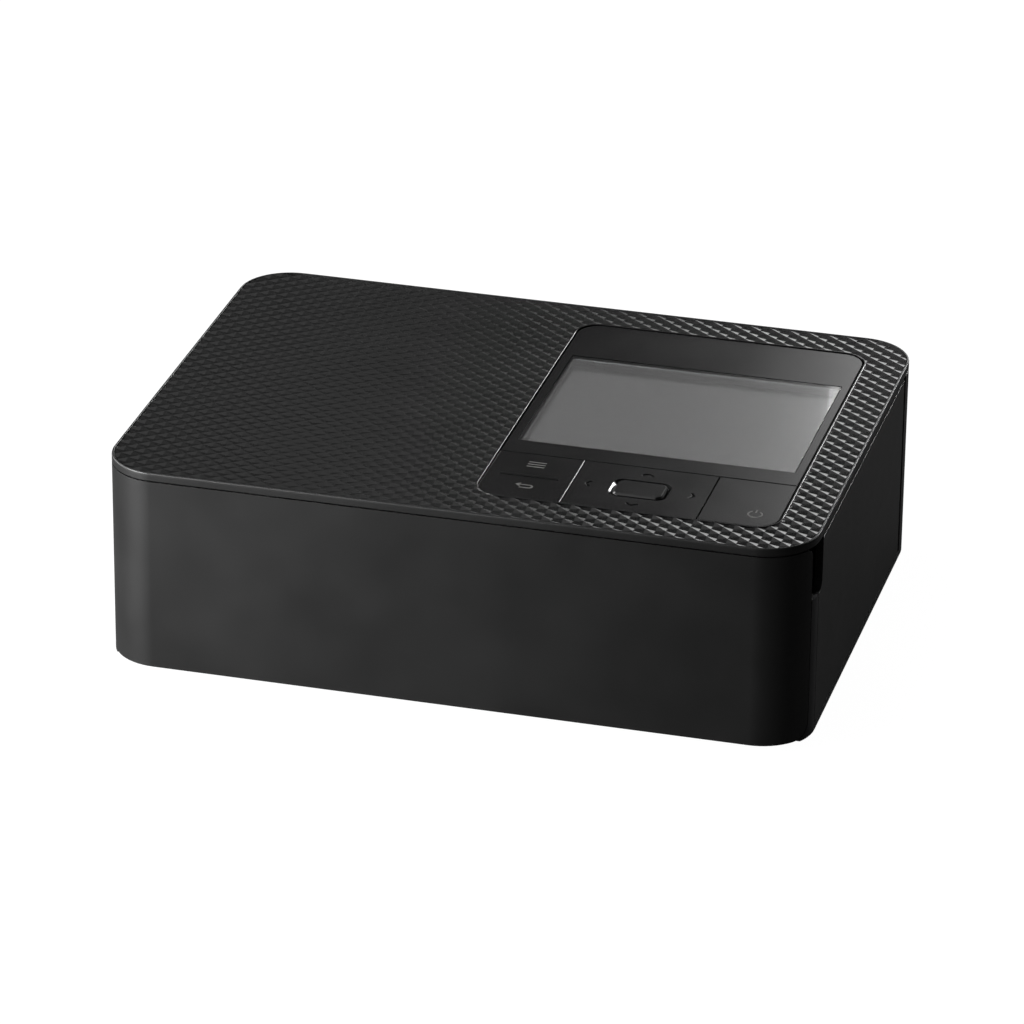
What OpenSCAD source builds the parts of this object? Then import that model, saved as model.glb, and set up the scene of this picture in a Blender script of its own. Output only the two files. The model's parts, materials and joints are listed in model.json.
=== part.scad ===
// Compact photo printer: a flat box with a textured top, a display and key panel,
// a full-width front cover hinged at its foot and a ribbon door hinged on the right side.
// X runs across the width, Y from the front to the rear, Z up; the floor is Z = 0.

/* [Case] */
// Overall width across the side walls
case_w = 182.2; // [176:0.1:196]
// Overall depth from the front cover to the rear wall
case_d = 133; // [130:0.5:145]
// Overall height on its feet
case_h = 57.6; // [56.6:0.1:62]
// Radius of the case's upright corners
corner_r = 13.8; // [12:0.1:15]
// Thickness of the outer walls and covers
wall = 2; // [1.6:0.1:2.2]
// Height of the rim of the top cover
rim_h = 2.1; // [1.9:0.1:2.6]
// Dark seam under the rim
seam = 0.4; // [0.3:0.05:0.5]
// Broken edge round the top
edge_break = 0.5; // [0.3:0.1:0.8]
// Thickness of the base pan
sill_h = 1.6; // [1.5:0.1:1.8]
// Height of the feet under the pan
foot_h = 3; // [2.6:0.1:3.4]
// Radius of a foot
foot_r = 6; // [5:0.5:7]
// Distance of a foot's centre from the sides
foot_inset = 19; // [17:0.5:22]

/* [Front cover] */
// Distance of the hinge line behind the front face and above the cover's lower edge
hinge_in = 4.5; // [4.4:0.1:4.8]
// Lift of the cover's lower edge above the foot of the case
cover_lift = 0.5; // [0.4:0.1:0.7]
// Radius of the two hinge pins
cover_pin_r = 1.2; // [1:0.1:1.3]
// Distance of a hinge pin's bracket from the middle
bracket_x = 64; // [62:0.5:66]
// Width of a hinge bracket and of an ear
ear_w = 4; // [3:0.5:5]
// Thickness of the cover's lip under the case
lip_h = 1.6; // [1.4:0.1:2]
// Length of a catch tab on the cover
catch_w = 8; // [6:0.5:10]

/* [Ribbon door] */
// Distance of the door's front edge behind the front face
door_setback = 13.5; // [13:0.1:14]
// Length of the ribbon door
door_len = 103; // [101:0.5:104]
// Lift of the door above the base pan
door_lift = 0.3; // [0.3:0.05:0.5]
// Gap between the door and the rim
door_top_gap = 1; // [0.8:0.1:1.2]
// Radius of the door's rounded hinge edge
knuckle_r = 1.6; // [1.4:0.1:1.8]
// Radius of the door's hinge pins
door_pin_r = 0.8; // [0.6:0.1:0.9]
// Height of the finger notch
notch_h = 14; // [12:0.5:16]
// Length of the finger notch along the side
notch_l = 8.2; // [7.5:0.1:9]
// Depth of the finger notch
notch_depth = 5; // [4.8:0.1:5.2]

/* [Panel] */
// Width of the control panel
panel_w = 76.8; // [74:0.1:78]
// Distance of the panel from the right side
panel_right = 11.3; // [10.5:0.1:12]
// Distance of the panel from the front face
panel_front = 12.45; // [12:0.1:13]
// Distance of the panel from the rear face
panel_rear = 11.6; // [11:0.1:12.5]
// Corner radius of the panel
panel_r = 6; // [4:0.5:7]
// Depth of the panel's face below the top
panel_drop = 0.25; // [0.1:0.05:0.4]
// Depth of the key row
key_row = 25.85; // [25:0.1:26.5]
// Thickness of the bezel and of a key
key_t = 1.6; // [1.4:0.1:1.8]
// Share of the panel's width that the menu key takes
menu_share = 0.289; // [0.27:0.001:0.3]
// Share of the panel's width that the four-way pad takes
pad_share = 0.4512; // [0.44:0.001:0.47]
// Width of the middle button
ok_w = 13.1; // [12:0.1:14]
// Depth of the middle button
ok_d = 8.6; // [8:0.1:9.5]
// Corner radius of the middle button
ok_r = 2; // [1.5:0.1:2.5]
// Width of the sunken margin round the middle button
moat = 0.9; // [0.7:0.1:1.1]
// Height of the tray's deck under the keys
deck_t = 1.2; // [1:0.1:1.4]

/* [Display] */
// Distance of the window from the panel's left edge
window_left = 2.7; // [2.4:0.1:3.2]
// Distance of the window from the panel's right edge
window_right = 2.4; // [2.2:0.1:3.2]
// Distance of the window behind the key row
window_front = 7.55; // [7:0.1:8]
// Distance of the window in front of the panel's rear edge
window_rear = 20.8; // [20:0.1:21.5]
// Thickness of the clear window
window_t = 1.4; // [1.2:0.1:1.6]
// Air gap between the window and the display
display_gap = 1.6; // [1.4:0.1:1.8]
// Thickness of the display module
lcd_t = 3.1; // [2.8:0.1:3.4]
// Margin of the display module round the window
lcd_margin = 1.2; // [1:0.1:1.6]

/* [Paper path] */
// Width between the chassis plates
chassis_w = 120; // [118:0.5:121]
// Thickness of the chassis plates
plate_t = 1.2; // [1:0.1:1.5]
// Height of the chassis plates' top edge
plate_top = 46; // [45:0.5:46.5]
// Width of the paper bay
bay_w = 114; // [112:0.5:115]
// Height of the paper bay
bay_h = 27; // [26:0.5:28]
// Height of the paper plane above the floor
paper_z = 19.2; // [19:0.1:19.4]
// Place of the print line behind the middle of the case
print_y = 18; // [17:0.5:19]
// Distance between the ribbon chambers' axes
spool_gap = 32; // [31.5:0.5:33]
// Height of the ribbon chambers' axes
spool_z = 34; // [34:0.1:34.3]
// Width of a ribbon chamber
chamber_d = 22; // [21:0.5:22]
// Height of a ribbon chamber
chamber_h = 21; // [20.5:0.5:21]
// Width of the paper exit in the rear wall
exit_w = 110; // [108:0.5:112]
// Height of the paper exit
exit_h = 7; // [6.5:0.5:7.5]

/* [Rollers and head] */
// Radius of the platen roller
platen_r = 6; // [5.8:0.1:6.2]
// Radius of the platen's shaft
platen_shaft_r = 2.5; // [2.2:0.1:2.7]
// Radius of the transport roller
capstan_r = 2.4; // [2.3:0.1:2.5]
// Radius of the pinch roller
pinch_r = 2.1; // [2:0.1:2.2]
// Length of the rollers' working faces
roller_l = 106; // [104:0.5:108]
// Radius of the pick-up roller's tyres
pickup_r = 7; // [6.5:0.1:7.2]
// Distance of the pick-up roller in front of the print line
pickup_back = 40; // [39:0.5:41]
// Height of the pick-up roller's axis
pickup_z = 29.6; // [29.4:0.1:29.8]
// Radius of the thinner shafts
thin_r = 1.5; // [1.3:0.1:1.6]
// Wall of a shaft's bush
bush_wall = 1.2; // [1:0.1:1.4]
// Lift of the print head above the paper when it is raised
head_lift = 2.5; // [2.4:0.1:2.8]
// Width of the print head
head_d = 8; // [7.5:0.1:8.4]

/* [Gears] */
// Module of every gear
gear_m = 0.5; // [0.48:0.01:0.52]
// Teeth on a motor pinion
pinion_n = 12; // [12:1:13]
// Teeth on the platen's gear
platen_n = 30; // [30:1:31]
// Teeth on the idler
idler_n = 20; // [20:1:21]
// Teeth on the transport roller's gear
capstan_n = 12; // [12:1:13]
// Teeth on the pick-up roller's gear
pickup_n = 36; // [36:1:37]
// Teeth on the take-up gear
takeup_n = 40; // [40:1:41]
// Width of a gear
gear_w = 3.4; // [3:0.1:3.6]
// Side play between meshing teeth
backlash = 0.12; // [0.08:0.01:0.16]

/* [Ports] */
// Width of the memory card slot
card_w = 24.6; // [24.4:0.1:25]
// Height of the memory card slot
card_h = 2.6; // [2.4:0.1:2.8]
// Width of the data port
port_w = 9; // [8.9:0.1:9.2]
// Height of the data port
port_h = 3.2; // [3.1:0.1:3.4]
// Number of vent slots in the left wall
vent_n = 12; // [6:1:14]
// Pitch of the vent slots
vent_pitch = 3.2; // [3:0.1:3.4]

/* [Clearances] */
// Gap between covers, keys and the case
gap = 0.3; // [0.25:0.05:0.35]
// Play of a shaft or pin in its bore
run = 0.05; // [0.02:0.01:0.08]
// Play of a fixed piece against its neighbour
fit = 0.15; // [0.1:0.05:0.2]

/* [Hidden] */
$fn = 48;

front = -case_d / 2;
rear = case_d / 2;
side = case_w / 2;
pan_z = foot_h + sill_h;
rim_z = case_h - rim_h;
shell_z = rim_z - seam;

// how far a cut runs past a face
over = 1;
// ribs and webs of the mouldings
rib_t = 1.2;
web_t = 1.4;

// base pan and feet
pan_lip_h = 4;
pan_rib_x = 50;
pan_rib_pitch = 20;
pan_rib_y = -34;
pan_rib_l = 24;
pan_rib_h = 1.4;
bracket_l = 3;
foot_sink = 0.8;
foot_break = 0.6;
toe_in = 2;

// front cover, its hinge line and the seams behind it
pivot_y = front + hinge_in;
pivot_z = foot_h + cover_lift + hinge_in;
cover_end = front + 2 * hinge_in;
strip_start = cover_end + gap;
skirt_h = 2.6;
skirt_t = 1.3;
frame_in = 2 * wall;
frame_t = 1.8;
bracket_w = ear_w + 1.7;
ear_r = 2.2;

// ribbon door
door_start = front + door_setback;
door_end = door_start + door_len;
door_z = pan_z + door_lift;
door_top = rim_z - door_top_gap;
knuckle_x = side - knuckle_r;
knuckle_y = door_end - knuckle_r;
door_pin_l = 1.5;
notch_top = door_top + gap;
guide_x = side - wall - 3.1;
guide_t = 1.5;

// control panel
panel_x = side - panel_right - panel_w;
panel_y = front + panel_front;
panel_d = case_d - panel_front - panel_rear;
panel_z = case_h - panel_drop;
key_end = panel_y + key_row;
menu_w = panel_w * menu_share;
pad_w = panel_w * pad_share;
window_w = panel_w - window_left - window_right;
window_d = panel_d - key_row - window_front - window_rear;
pad_x = panel_x + menu_w;
power_x = pad_x + pad_w;
key_mid = panel_y + key_row / 2;
pad_mid = pad_x + pad_w / 2;
key_under = panel_z - key_t;
deck_top = key_under - 1.3;
deck_z = deck_top - deck_t;
dome_t = 0.7;
stem_z = deck_z - 0.4;
board_t = 1.4;
board_top = stem_z - 0.5 - dome_t;
stem_r = 1;
stem_in = 4;
window_x = panel_x + window_left;
window_y = key_end + window_front;
glass_z = panel_z - 0.1 - window_t;
lcd_z = glass_z - display_gap - lcd_t;
tray_out = 1.5;
ring_rim = 2.5;
ring_w = ok_w + 2 * gap + 2 * ring_rim + 1;
ring_d = ok_d + 2 * gap + 2 * ring_rim + 0.6;
ring_t = 0.75;
ring_bar_r = 0.44;
ring_z = deck_top + 0.625;

// keys, the button in the middle and the board under them
key_break = 0.2;
key_bite = 0.1;
stem_room = 0.5;
key_line_l = 15;
key_line_w = 0.8;
key_line_h = 0.3;
menu_bar_in = 5;
menu_bar_z = deck_top + 0.75;
menu_bar_r = 0.6;
menu_web = 1;
moat_h = 0.9;
ok_break = 0.5;
arrow_d = 1.6;
arrow_half = 1.45;
arrow_line = 0.7;
arrow_deep = 0.2;
ring_bar_l = ring_rim - 0.4;
post_w = 1.5;
post_in = 2.5;
dome_r = 2.2;
dome_top_r = 0.9;
lcd_x = window_x - lcd_margin;
lcd_y = window_y - lcd_margin;
lcd_w = window_w + 2 * lcd_margin;
lcd_d = window_d + 2 * lcd_margin;
menu_stems = [for (s = [-1, 1]) [panel_x + menu_w / 2, key_mid + s * (key_row / 2 - stem_in)]];
pad_stems = [for (a = [0:90:270])
    [pad_mid + (pad_w / 2 - stem_in) * cos(a), key_mid + (key_row / 2 - stem_in) * sin(a)]];
power_stems = [[(power_x + panel_x + panel_w) / 2, key_mid]];
ok_stems = [[pad_mid, key_mid]];
all_stems = concat(menu_stems, pad_stems, power_stems, ok_stems);

// chassis, rollers and the ribbon chambers
plate_x = chassis_w / 2;
pickup_y = print_y - pickup_back;
capstan_y = print_y + spool_gap / 2;
front_spool_y = print_y - spool_gap / 2;
rear_spool_y = print_y + spool_gap / 2;
platen_z = paper_z - platen_r;
capstan_z = paper_z - capstan_r;
paper_gap = 0.25;
pinch_z = paper_z + paper_gap + pinch_r;
gear_x = -plate_x - 2 - gear_w;
drive_x = gear_x - 1.6;
shaft_end = 2.4;
bay_floor = 8;
bay_deep = pickup_y - 12;
head_pivot_y = print_y + 35;
head_pivot_z = 44;
head_z = paper_z + paper_gap + head_lift;
tongue_d = spool_gap - chamber_d;
plate_front = pickup_y - 18;
plate_rear = rear - wall - 6;

// side and rear walls
stiffener_y = strip_start + 6;
stiffener_z = pan_z + 4.2;
stiffener_h = shell_z - pan_z - 9;
stiffener_d = 1.6;
port_play = 0.4;
vent_y = 4;
vent_z = pan_z + 12;
vent_w = 1.5;
vent_h = 11;
exit_z = paper_z - exit_h / 2 + 0.6;
rear_vent_n = 10;
rear_vent_x = -64;
rear_vent_pitch = 4;
rear_vent_z = 36;
rear_vent_w = 1.6;
rear_vent_h = 9;
inlet_x = -side + 19.6;
inlet_z = 16;
inlet_r = 3;
inlet_play = 0.8;
inlet_w = 11;
inlet_d = 12;
inlet_deep = 9;
inlet_pin_r = 0.8;
inlet_pin_l = 9.6;
inlet_foot = 8;

// front cover's catches and ribs, and the moulding behind it
frame_foot = pivot_z + 4;
frame_back = front + frame_in + frame_t;
frame_wrap = 6;
frame_cut = hinge_in + 8;
web_x = plate_x + 16;
leg_w = 6;
leg_d = 2.4;
leg_h = 2;
leg_bite = 0.2;
leg_x = side - corner_r - leg_w / 2;
catch_z = shell_z - 6;
catch_t = 1.2;
catch_l = wall + 3;
catch_room = 4;
cover_rib_x = 45;
cover_rib_pitch = 15;
cover_rib_bite = 0.5;
cover_rib_d = 1.6;
cover_rib_h = 36;
cover_corner_r = 2;
pin_short = 0.5;
pin_back = 0.4;

// ribbon door, its notch and the latch beside the ribbon's mouth
notch_r = 3;
door_pin_z = pan_z - door_pin_l + 0.2;
pin_hold = 3;
door_rib_low = 6;
door_rib_high = 12;
door_rib_y = 14;
door_rib_short = 26;
door_rib_d = 0.6;
door_bite = 0.4;
door_catch_y = 11;
door_catch_z = 24;
door_catch_d = 1.2;
door_catch_bite = 0.3;
door_catch_h = 6;
door_corner_r = 1.2;
web_slot = 6;
guide_short = 3;
guide_bite = 0.1;
guide_web_h = 34;
latch_y = front_spool_y - chamber_d / 2 - 6.4;
latch_z = spool_z + 4;
latch_d = 5;
latch_h = 9;
latch_travel = 4;
latch_out = 1.2;
latch_t = 1.2;

// plates, bushes and places with shaft radii along the paper path
plate_notch_h = 10;
plate_notch_l = 8;
plate_heel_l = 10;
plate_heel_h = 3;
thin_bush_wall = 0.7;
pinch_shaft_r = 1.2;
pickup_shaft_r = 2;
hub_shaft_r = 2;
shaft_start = gear_x - 0.4;
short_end = shaft_end - 0.8;
shafts = [
    [print_y, platen_z, platen_shaft_r], [capstan_y, capstan_z, thin_r], [capstan_y, pinch_z, pinch_shaft_r],
    [pickup_y, pickup_z, pickup_shaft_r], [head_pivot_y, head_pivot_z, thin_r]
];
hubs = [[front_spool_y, spool_z, hub_shaft_r], [rear_spool_y, spool_z, hub_shaft_r]];

// plate behind the motors, gear hubs and spools
drive_t = 1.2;
drive_tail = 8;
drive_low_h = 14;
drive_ahead = 10;
drive_behind = 14;
drive_short = 4;
stud_r = 1.2;
hub_r = 4;
capstan_hub_r = 2.1;
idler_hub_r = 3;
pinion_shaft_r = 1;
boss_l = 1.5;
boss_r = 3;
flange_x = 1.8 - plate_x;
flange_r = 6;
spool_r = 3.2;
spool_end = 10 - plate_x;
spline_w = 1;
spline_h = 1.2;
spline_l = 8;
hub_bite = 0.4;
supply_out = 1.6;

// paper bay and the deck behind it
bay_wall = 1.3;
bay_t = 1.2;
bay_end = pickup_y + 14;
bay_low_h = 14;
bay_stop_h = 8;
bay_leg_x = 40;
bay_leg_pitch = 20;
bay_leg_w = 6;
bay_hole = 12;
tyre_x = 30;
tyre_l = 14;
deck_h = 1.2;
guide_w = bay_w - 2;
guide_y = bay_end + 0.5;
guide_end = rear - wall - 0.2;
guide_wall_l = bay_w - 12;
guide_wall_t = 1.5;
guide_wall_y = 12;
rail_x = 50;
rail_pitch = 10;
rail_w = 1;
rail_h = 0.5;
rail_y = 4;
roller_slot = roller_l + 1.6;
platen_room = 0.5;
capstan_room = 0.6;
shaft_room = 3.1;
shaft_cut = 11.8;
guide_cut = 20;

// print head and its arm
arm_x = roller_l / 2 + 2.2;
arm_front = print_y - 5;
arm_l = head_pivot_y - print_y + 6;
arm_low = 1.4;
arm_h = 2.2;
lug_r = 3;
arm_hole_x = 36;
arm_hole_w = 20;
arm_hole_d = 18;
sink_z = head_z + 2;
sink_t = 3;
fin_n = 4;
fin_t = 1.2;
ceramic_t = 1.4;
bead_w = 2;
bead_h = 0.7;

// gear train, seen along the rollers
train_z = platen_z + 3;
platen_pitch = gear_m * platen_n / 2;
feed_dist = gear_m * (platen_n + pinion_n) / 2;
feed_angle = 165;
idler_dist = gear_m * (platen_n + idler_n) / 2;
idler_out = gear_m * (idler_n + capstan_n) / 2;
train_base = norm([capstan_y - print_y, capstan_z - platen_z]);
train_angle = atan2(capstan_z - platen_z, capstan_y - print_y);
idler_angle = train_angle + acos((pow(train_base, 2) + pow(idler_dist, 2) - pow(idler_out, 2))
    / (2 * train_base * idler_dist));
idler_at = [print_y + idler_dist * cos(idler_angle), platen_z + idler_dist * sin(idler_angle)];
idler_to_capstan = atan2(capstan_z - idler_at[1], capstan_y - idler_at[0]);
feed_at = [print_y + feed_dist * cos(feed_angle), platen_z + feed_dist * sin(feed_angle)];
pickup_dist = gear_m * (pickup_n + pinion_n) / 2;
takeup_dist = gear_m * (takeup_n + pinion_n) / 2;
ribbon_base = norm([front_spool_y - pickup_y, spool_z - pickup_z]);
ribbon_line = atan2(spool_z - pickup_z, front_spool_y - pickup_y);
pinion_angle = ribbon_line + acos((pow(ribbon_base, 2) + pow(pickup_dist, 2) - pow(takeup_dist, 2))
    / (2 * ribbon_base * pickup_dist));
ribbon_at = [pickup_y + pickup_dist * cos(pinion_angle), pickup_z + pickup_dist * sin(pinion_angle)];
ribbon_to_takeup = atan2(spool_z - ribbon_at[1], front_spool_y - ribbon_at[0]);
idler_turn = mesh(0, platen_n, idler_n, idler_angle);
ribbon_turn = mesh(0, pickup_n, pinion_n, pinion_angle);
motor_r = 9;
motor_room = side - wall + drive_x;
motor_l = motor_room * 0.6;

// main board and ports
main_z = shell_z - 5.9;
main_t = 1.6;
port_z = main_z - 2;
card_y = 14;
port_y = -16;
main_side = side - wall - 2;
main_half = 48;
main_gap = 5;
main_leg_y = 38;
main_leg_d = 6;
socket_h = 4;
card_wall = 1.2;
card_l = 26;
card_deep = 24;
port_wall = 0.3;
port_l = 7.5;
port_deep = 7;
// parts on the main board: place, width, depth and height
chips = [
    [-70, -30, 14, 14, 1.6], [-46, -22, 10, 12, 1.4], [-30, 10, 12, 8, 1.2], [-60, 30, 8, 8, 3]
];

black = "#1c1c1e";
dark = "#2a2a2c";
steel = "#b8bcc0";
rubber = "#161616";
ivory = "#d8d4c8";
board_green = "#1f5a3a";
brass = "#c8a850";

// angle of a tooth on the next gear, for a first gear of n1 teeth turned by a1
function mesh(a1, n1, n2, line) = line + 180 - n1 / n2 * (a1 - line) - 180 / n2;
function inv(rb, r) = let (a = acos(min(1, rb / r))) tan(a) * 180 / PI - a;

// involute spur gear, one tooth at angle turn, drawn in the YZ plane
module gear(n, turn) {
    pitch = gear_m * n / 2;
    base = pitch * cos(20);
    tip = pitch + 0.9 * gear_m;
    root = pitch - 1.2 * gear_m;
    half = 90 / n + inv(base, pitch) - backlash / pitch * 28.65;
    radii = [root, max(base, root + 0.05), pitch, (pitch + tip) / 2, tip];
    rotate(turn)
        polygon([for (i = [0:n - 1], s = [-1, 1], k = [0:4])
            let (r = radii[s < 0 ? k : 4 - k], a = 360 * i / n + s * (half - inv(base, r)))
            [r * cos(a), r * sin(a)]]);
}

// a shape drawn in the YZ plane, pushed along X from x0
module along_x(x0, l) {
    translate([x0, 0, 0]) rotate([90, 0, 90]) linear_extrude(l) children();
}

// a shaft or bore along X
module rod(x0, x1, y, z, r) {
    translate([x0, y, z]) rotate([0, 90, 0]) cylinder(h = x1 - x0, r = r);
}

module rounded(w, d, r) {
    square([w - 2 * r, d], center = true);
    square([w, d - 2 * r], center = true);
    for (x = [-1, 1], y = [-1, 1])
        translate([x * (w / 2 - r), y * (d / 2 - r)]) circle(r);
}

// a rounded plate whose top edge is broken by c
module slab(w, d, r, h, c) {
    linear_extrude(h - c) rounded(w, d, r);
    translate([0, 0, h - c]) {
        for (x = [-1, 1], y = [-1, 1])
            translate([x * (w / 2 - r), y * (d / 2 - r), 0]) cylinder(h = c, r1 = r, r2 = r - c);
        rotate([90, 0, 0]) linear_extrude(d - 2 * r, center = true) bevelled(w, c);
        rotate([90, 0, 90]) linear_extrude(w - 2 * r, center = true) bevelled(d, c);
    }
}

module bevelled(w, c) {
    polygon([[-w / 2, 0], [w / 2, 0], [w / 2 - c, c], [-w / 2 + c, c]]);
}

// the case's outline, drawn in by a distance
module outline(inset) {
    rounded(case_w - 2 * inset, case_d - 2 * inset, corner_r - inset);
}

module ring(from, to) {
    difference() {
        outline(from);
        outline(to);
    }
}

// part of a flat shape between two places along Y, on one side or both
module between(y0, y1, x0 = -case_w, x1 = case_w) {
    intersection() {
        children();
        translate([x0, y0]) square([x1 - x0, y1 - y0]);
    }
}

// quarter round space that the front cover's lower corner turns in
module cover_sweep(r) {
    rod(-side - 1, side + 1, pivot_y, pivot_z, r);
}

module base_pan() color(black) difference() {
    union() {
        translate([0, 0, foot_h]) linear_extrude(sill_h) between(strip_start, rear) outline(0);
        translate([0, 0, pan_z]) linear_extrude(pan_lip_h)
            between(door_start, rear, -side, plate_x) ring(wall + fit, wall + fit + web_t);
        for (s = [-1, 1]) cover_bracket(s);
        for (x = [-pan_rib_x:pan_rib_pitch:pan_rib_x])
            translate([x - rib_t / 2, pan_rib_y, pan_z]) cube([rib_t, pan_rib_l, pan_rib_h]);
    }
    translate([knuckle_x, knuckle_y, door_pin_z]) cylinder(h = door_pin_l, r = door_pin_r + run);
    for (s = [-1, 1]) rod(s * (bracket_x + bracket_w / 2) - bracket_w, s * (bracket_x + bracket_w / 2)
        + bracket_w, pivot_y, pivot_z, cover_pin_r + run);
    feet_at() translate([0, 0, foot_h]) cylinder(h = foot_sink, r = foot_r + fit);
}

// bracket that holds one of the front cover's pins
module cover_bracket(s) {
    x0 = s > 0 ? bracket_x : -bracket_x - bracket_w;
    rod(x0, x0 + bracket_w, pivot_y, pivot_z, ear_r);
    translate([x0, pivot_y, pivot_z - ear_r]) cube([bracket_w, strip_start + bracket_l - pivot_y, 2 * ear_r]);
    translate([x0, strip_start, foot_h]) cube([bracket_w, bracket_l, pivot_z - foot_h]);
}

module feet_at() {
    for (x = [-1, 1], y = [-1, 1])
        translate([x * (side - foot_inset), y * (rear - foot_inset), 0]) children();
}

module rubber_feet() color(rubber) feet_at() {
    cylinder(h = foot_break, r1 = foot_r - foot_break, r2 = foot_r);
    translate([0, 0, foot_break]) cylinder(h = foot_h + foot_sink - foot_break, r = foot_r);
}

// corner of the side wall that reaches forward under the cover's round lower corner
module toe(s) {
    difference() {
        translate([0, 0, foot_h]) linear_extrude(pivot_z - foot_h)
            between(pivot_y + toe_in, strip_start, s > 0 ? 0 : -side, s > 0 ? side : 0) ring(0, wall);
        cover_sweep(hinge_in + gap);
    }
}

module left_cover() color(black) difference() {
    union() {
        translate([0, 0, pan_z]) linear_extrude(shell_z - pan_z)
            between(strip_start, door_end, -side, 0) ring(0, wall);
        toe(-1);
        translate([0, 0, stiffener_z]) linear_extrude(stiffener_h)
            between(stiffener_y, stiffener_y + rib_t, -side, 0) ring(wall, wall + stiffener_d);
    }
    translate([-side - over, card_y - card_w / 2, port_z - card_h / 2]) cube([wall + 2 * over, card_w, card_h]);
    port_hole(port_y, port_z, port_w + port_play, port_h + port_play, -side - over, wall + 2 * over);
    for (i = [0:vent_n - 1])
        port_hole(vent_y + i * vent_pitch, vent_z, vent_w, vent_h, -side - over, wall + 2 * over);
}

// a slot with round ends through the left wall
module port_hole(y, z, w, h, x0, l) {
    r = min(w, h) / 2;
    along_x(x0, l) translate([y, z]) {
        square([w > h ? w - 2 * r : w, w > h ? h : h - 2 * r], center = true);
        for (s = [-1, 1]) translate(w > h ? [s * (w / 2 - r), 0] : [0, s * (h / 2 - r)]) circle(r);
    }
}

module rear_cover() color(black) difference() {
    translate([0, 0, pan_z]) linear_extrude(shell_z - pan_z) between(door_end + gap, rear) ring(0, wall);
    translate([0, rear - wall - over, 0]) {
        translate([-exit_w / 2, 0, exit_z]) cube([exit_w, wall + 2 * over, exit_h]);
        translate([inlet_x, 0, inlet_z]) rotate([-90, 0, 0])
            cylinder(h = wall + 2 * over, r = inlet_r + inlet_play);
        for (i = [0:rear_vent_n - 1]) translate([rear_vent_x + i * rear_vent_pitch, 0, rear_vent_z])
            cube([rear_vent_w, wall + 2 * over, rear_vent_h]);
    }
}

module dc_inlet() color(dark) translate([inlet_x, rear - wall, inlet_z]) {
    difference() {
        translate([-inlet_w / 2, -inlet_d, -inlet_w / 2]) cube([inlet_w, inlet_d, inlet_w]);
        translate([0, -inlet_deep, 0]) rotate([-90, 0, 0]) cylinder(h = inlet_deep + over, r = inlet_r);
    }
    translate([0, -inlet_deep - over, 0]) rotate([-90, 0, 0]) cylinder(h = inlet_pin_l, r = inlet_pin_r);
    translate([-inlet_foot / 2, -inlet_deep - over, pan_z - inlet_z])
        cube([inlet_foot, inlet_foot, inlet_z - inlet_w / 2 - pan_z]);
}

module top_cover() color(black) difference() {
    union() {
        translate([0, 0, rim_z]) slab(case_w, case_d, corner_r, rim_h, edge_break);
        translate([0, 0, shell_z - skirt_h]) linear_extrude(skirt_h + seam + rim_h / 2)
            between(door_start, rear, -side, plate_x) ring(wall + fit, wall + fit + skirt_t);
    }
    translate([panel_x + panel_w / 2, panel_y + panel_d / 2, rim_z - over])
        linear_extrude(rim_h + 2 * over) rounded(panel_w + 2 * gap, panel_d + 2 * gap, panel_r + gap);
    translate([knuckle_x, knuckle_y, rim_z - over]) cylinder(h = door_pin_l + over, r = door_pin_r + run);
}

// finger notch beside the cover, with a round lower corner
module notch_cut() {
    translate([side - notch_depth, cover_end, notch_top - notch_h]) difference() {
        translate([0, -over, 0]) cube([notch_depth + over, notch_l + over, notch_h + notch_r]);
        translate([-over, notch_l - notch_r, -over]) difference() {
            cube([notch_depth + 3 * over, notch_r + over, notch_r + over]);
            translate([-over, 0, notch_r + over]) rotate([0, 90, 0])
                cylinder(h = notch_depth + 5 * over, r = notch_r);
        }
    }
}

// black moulding behind the front cover, with the mouth of the paper bay
module front_frame() color(dark) difference() {
    union() {
        translate([0, 0, frame_foot]) linear_extrude(rim_z - frame_foot)
            between(front, strip_start + frame_wrap) ring(frame_in, frame_in + frame_t);
        translate([0, 0, pan_z]) linear_extrude(shell_z - pan_z)
            between(strip_start, door_start - gap, 0, side) ring(0, wall);
        toe(1);
        translate([0, 0, pan_z]) linear_extrude(shell_z - pan_z)
            between(strip_start, strip_start + web_t, web_x, side) outline(wall);
        translate([side - notch_depth - web_t, strip_start, notch_top - notch_h - web_t])
            cube([web_t, notch_l + over, shell_z - notch_top + notch_h + web_t]);
        for (s = [-1, 1]) translate([s * leg_x - leg_w / 2, 0, 0]) {
            translate([0, strip_start, pan_z]) cube([leg_w, leg_d, frame_foot - pan_z + leg_h]);
            translate([0, frame_back - leg_bite, frame_foot])
                cube([leg_w, strip_start - frame_back + 2 * leg_bite, leg_h]);
        }
    }
    notch_cut();
    translate([-bay_w / 2, front, foot_h]) cube([bay_w, frame_cut, bay_floor + bay_h - foot_h]);
    for (s = [-1, 1]) translate([s * bay_w / 2 - catch_w / 2 - over, front, catch_z - over])
        cube([catch_w + 2 * over, frame_cut, catch_room]);
}

// the cover's side view: a flat front, with a quarter round behind its lower corner
module cover_profile() {
    translate([front - over, pivot_z]) square([cover_end - front + over, shell_z - pivot_z + over]);
    translate([front - over, pivot_z - hinge_in]) square([hinge_in + over, hinge_in]);
    intersection() {
        translate([pivot_y, pivot_z]) circle(hinge_in);
        translate([pivot_y, foot_h - over]) square([hinge_in + over, pivot_z - foot_h + over]);
    }
}

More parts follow.
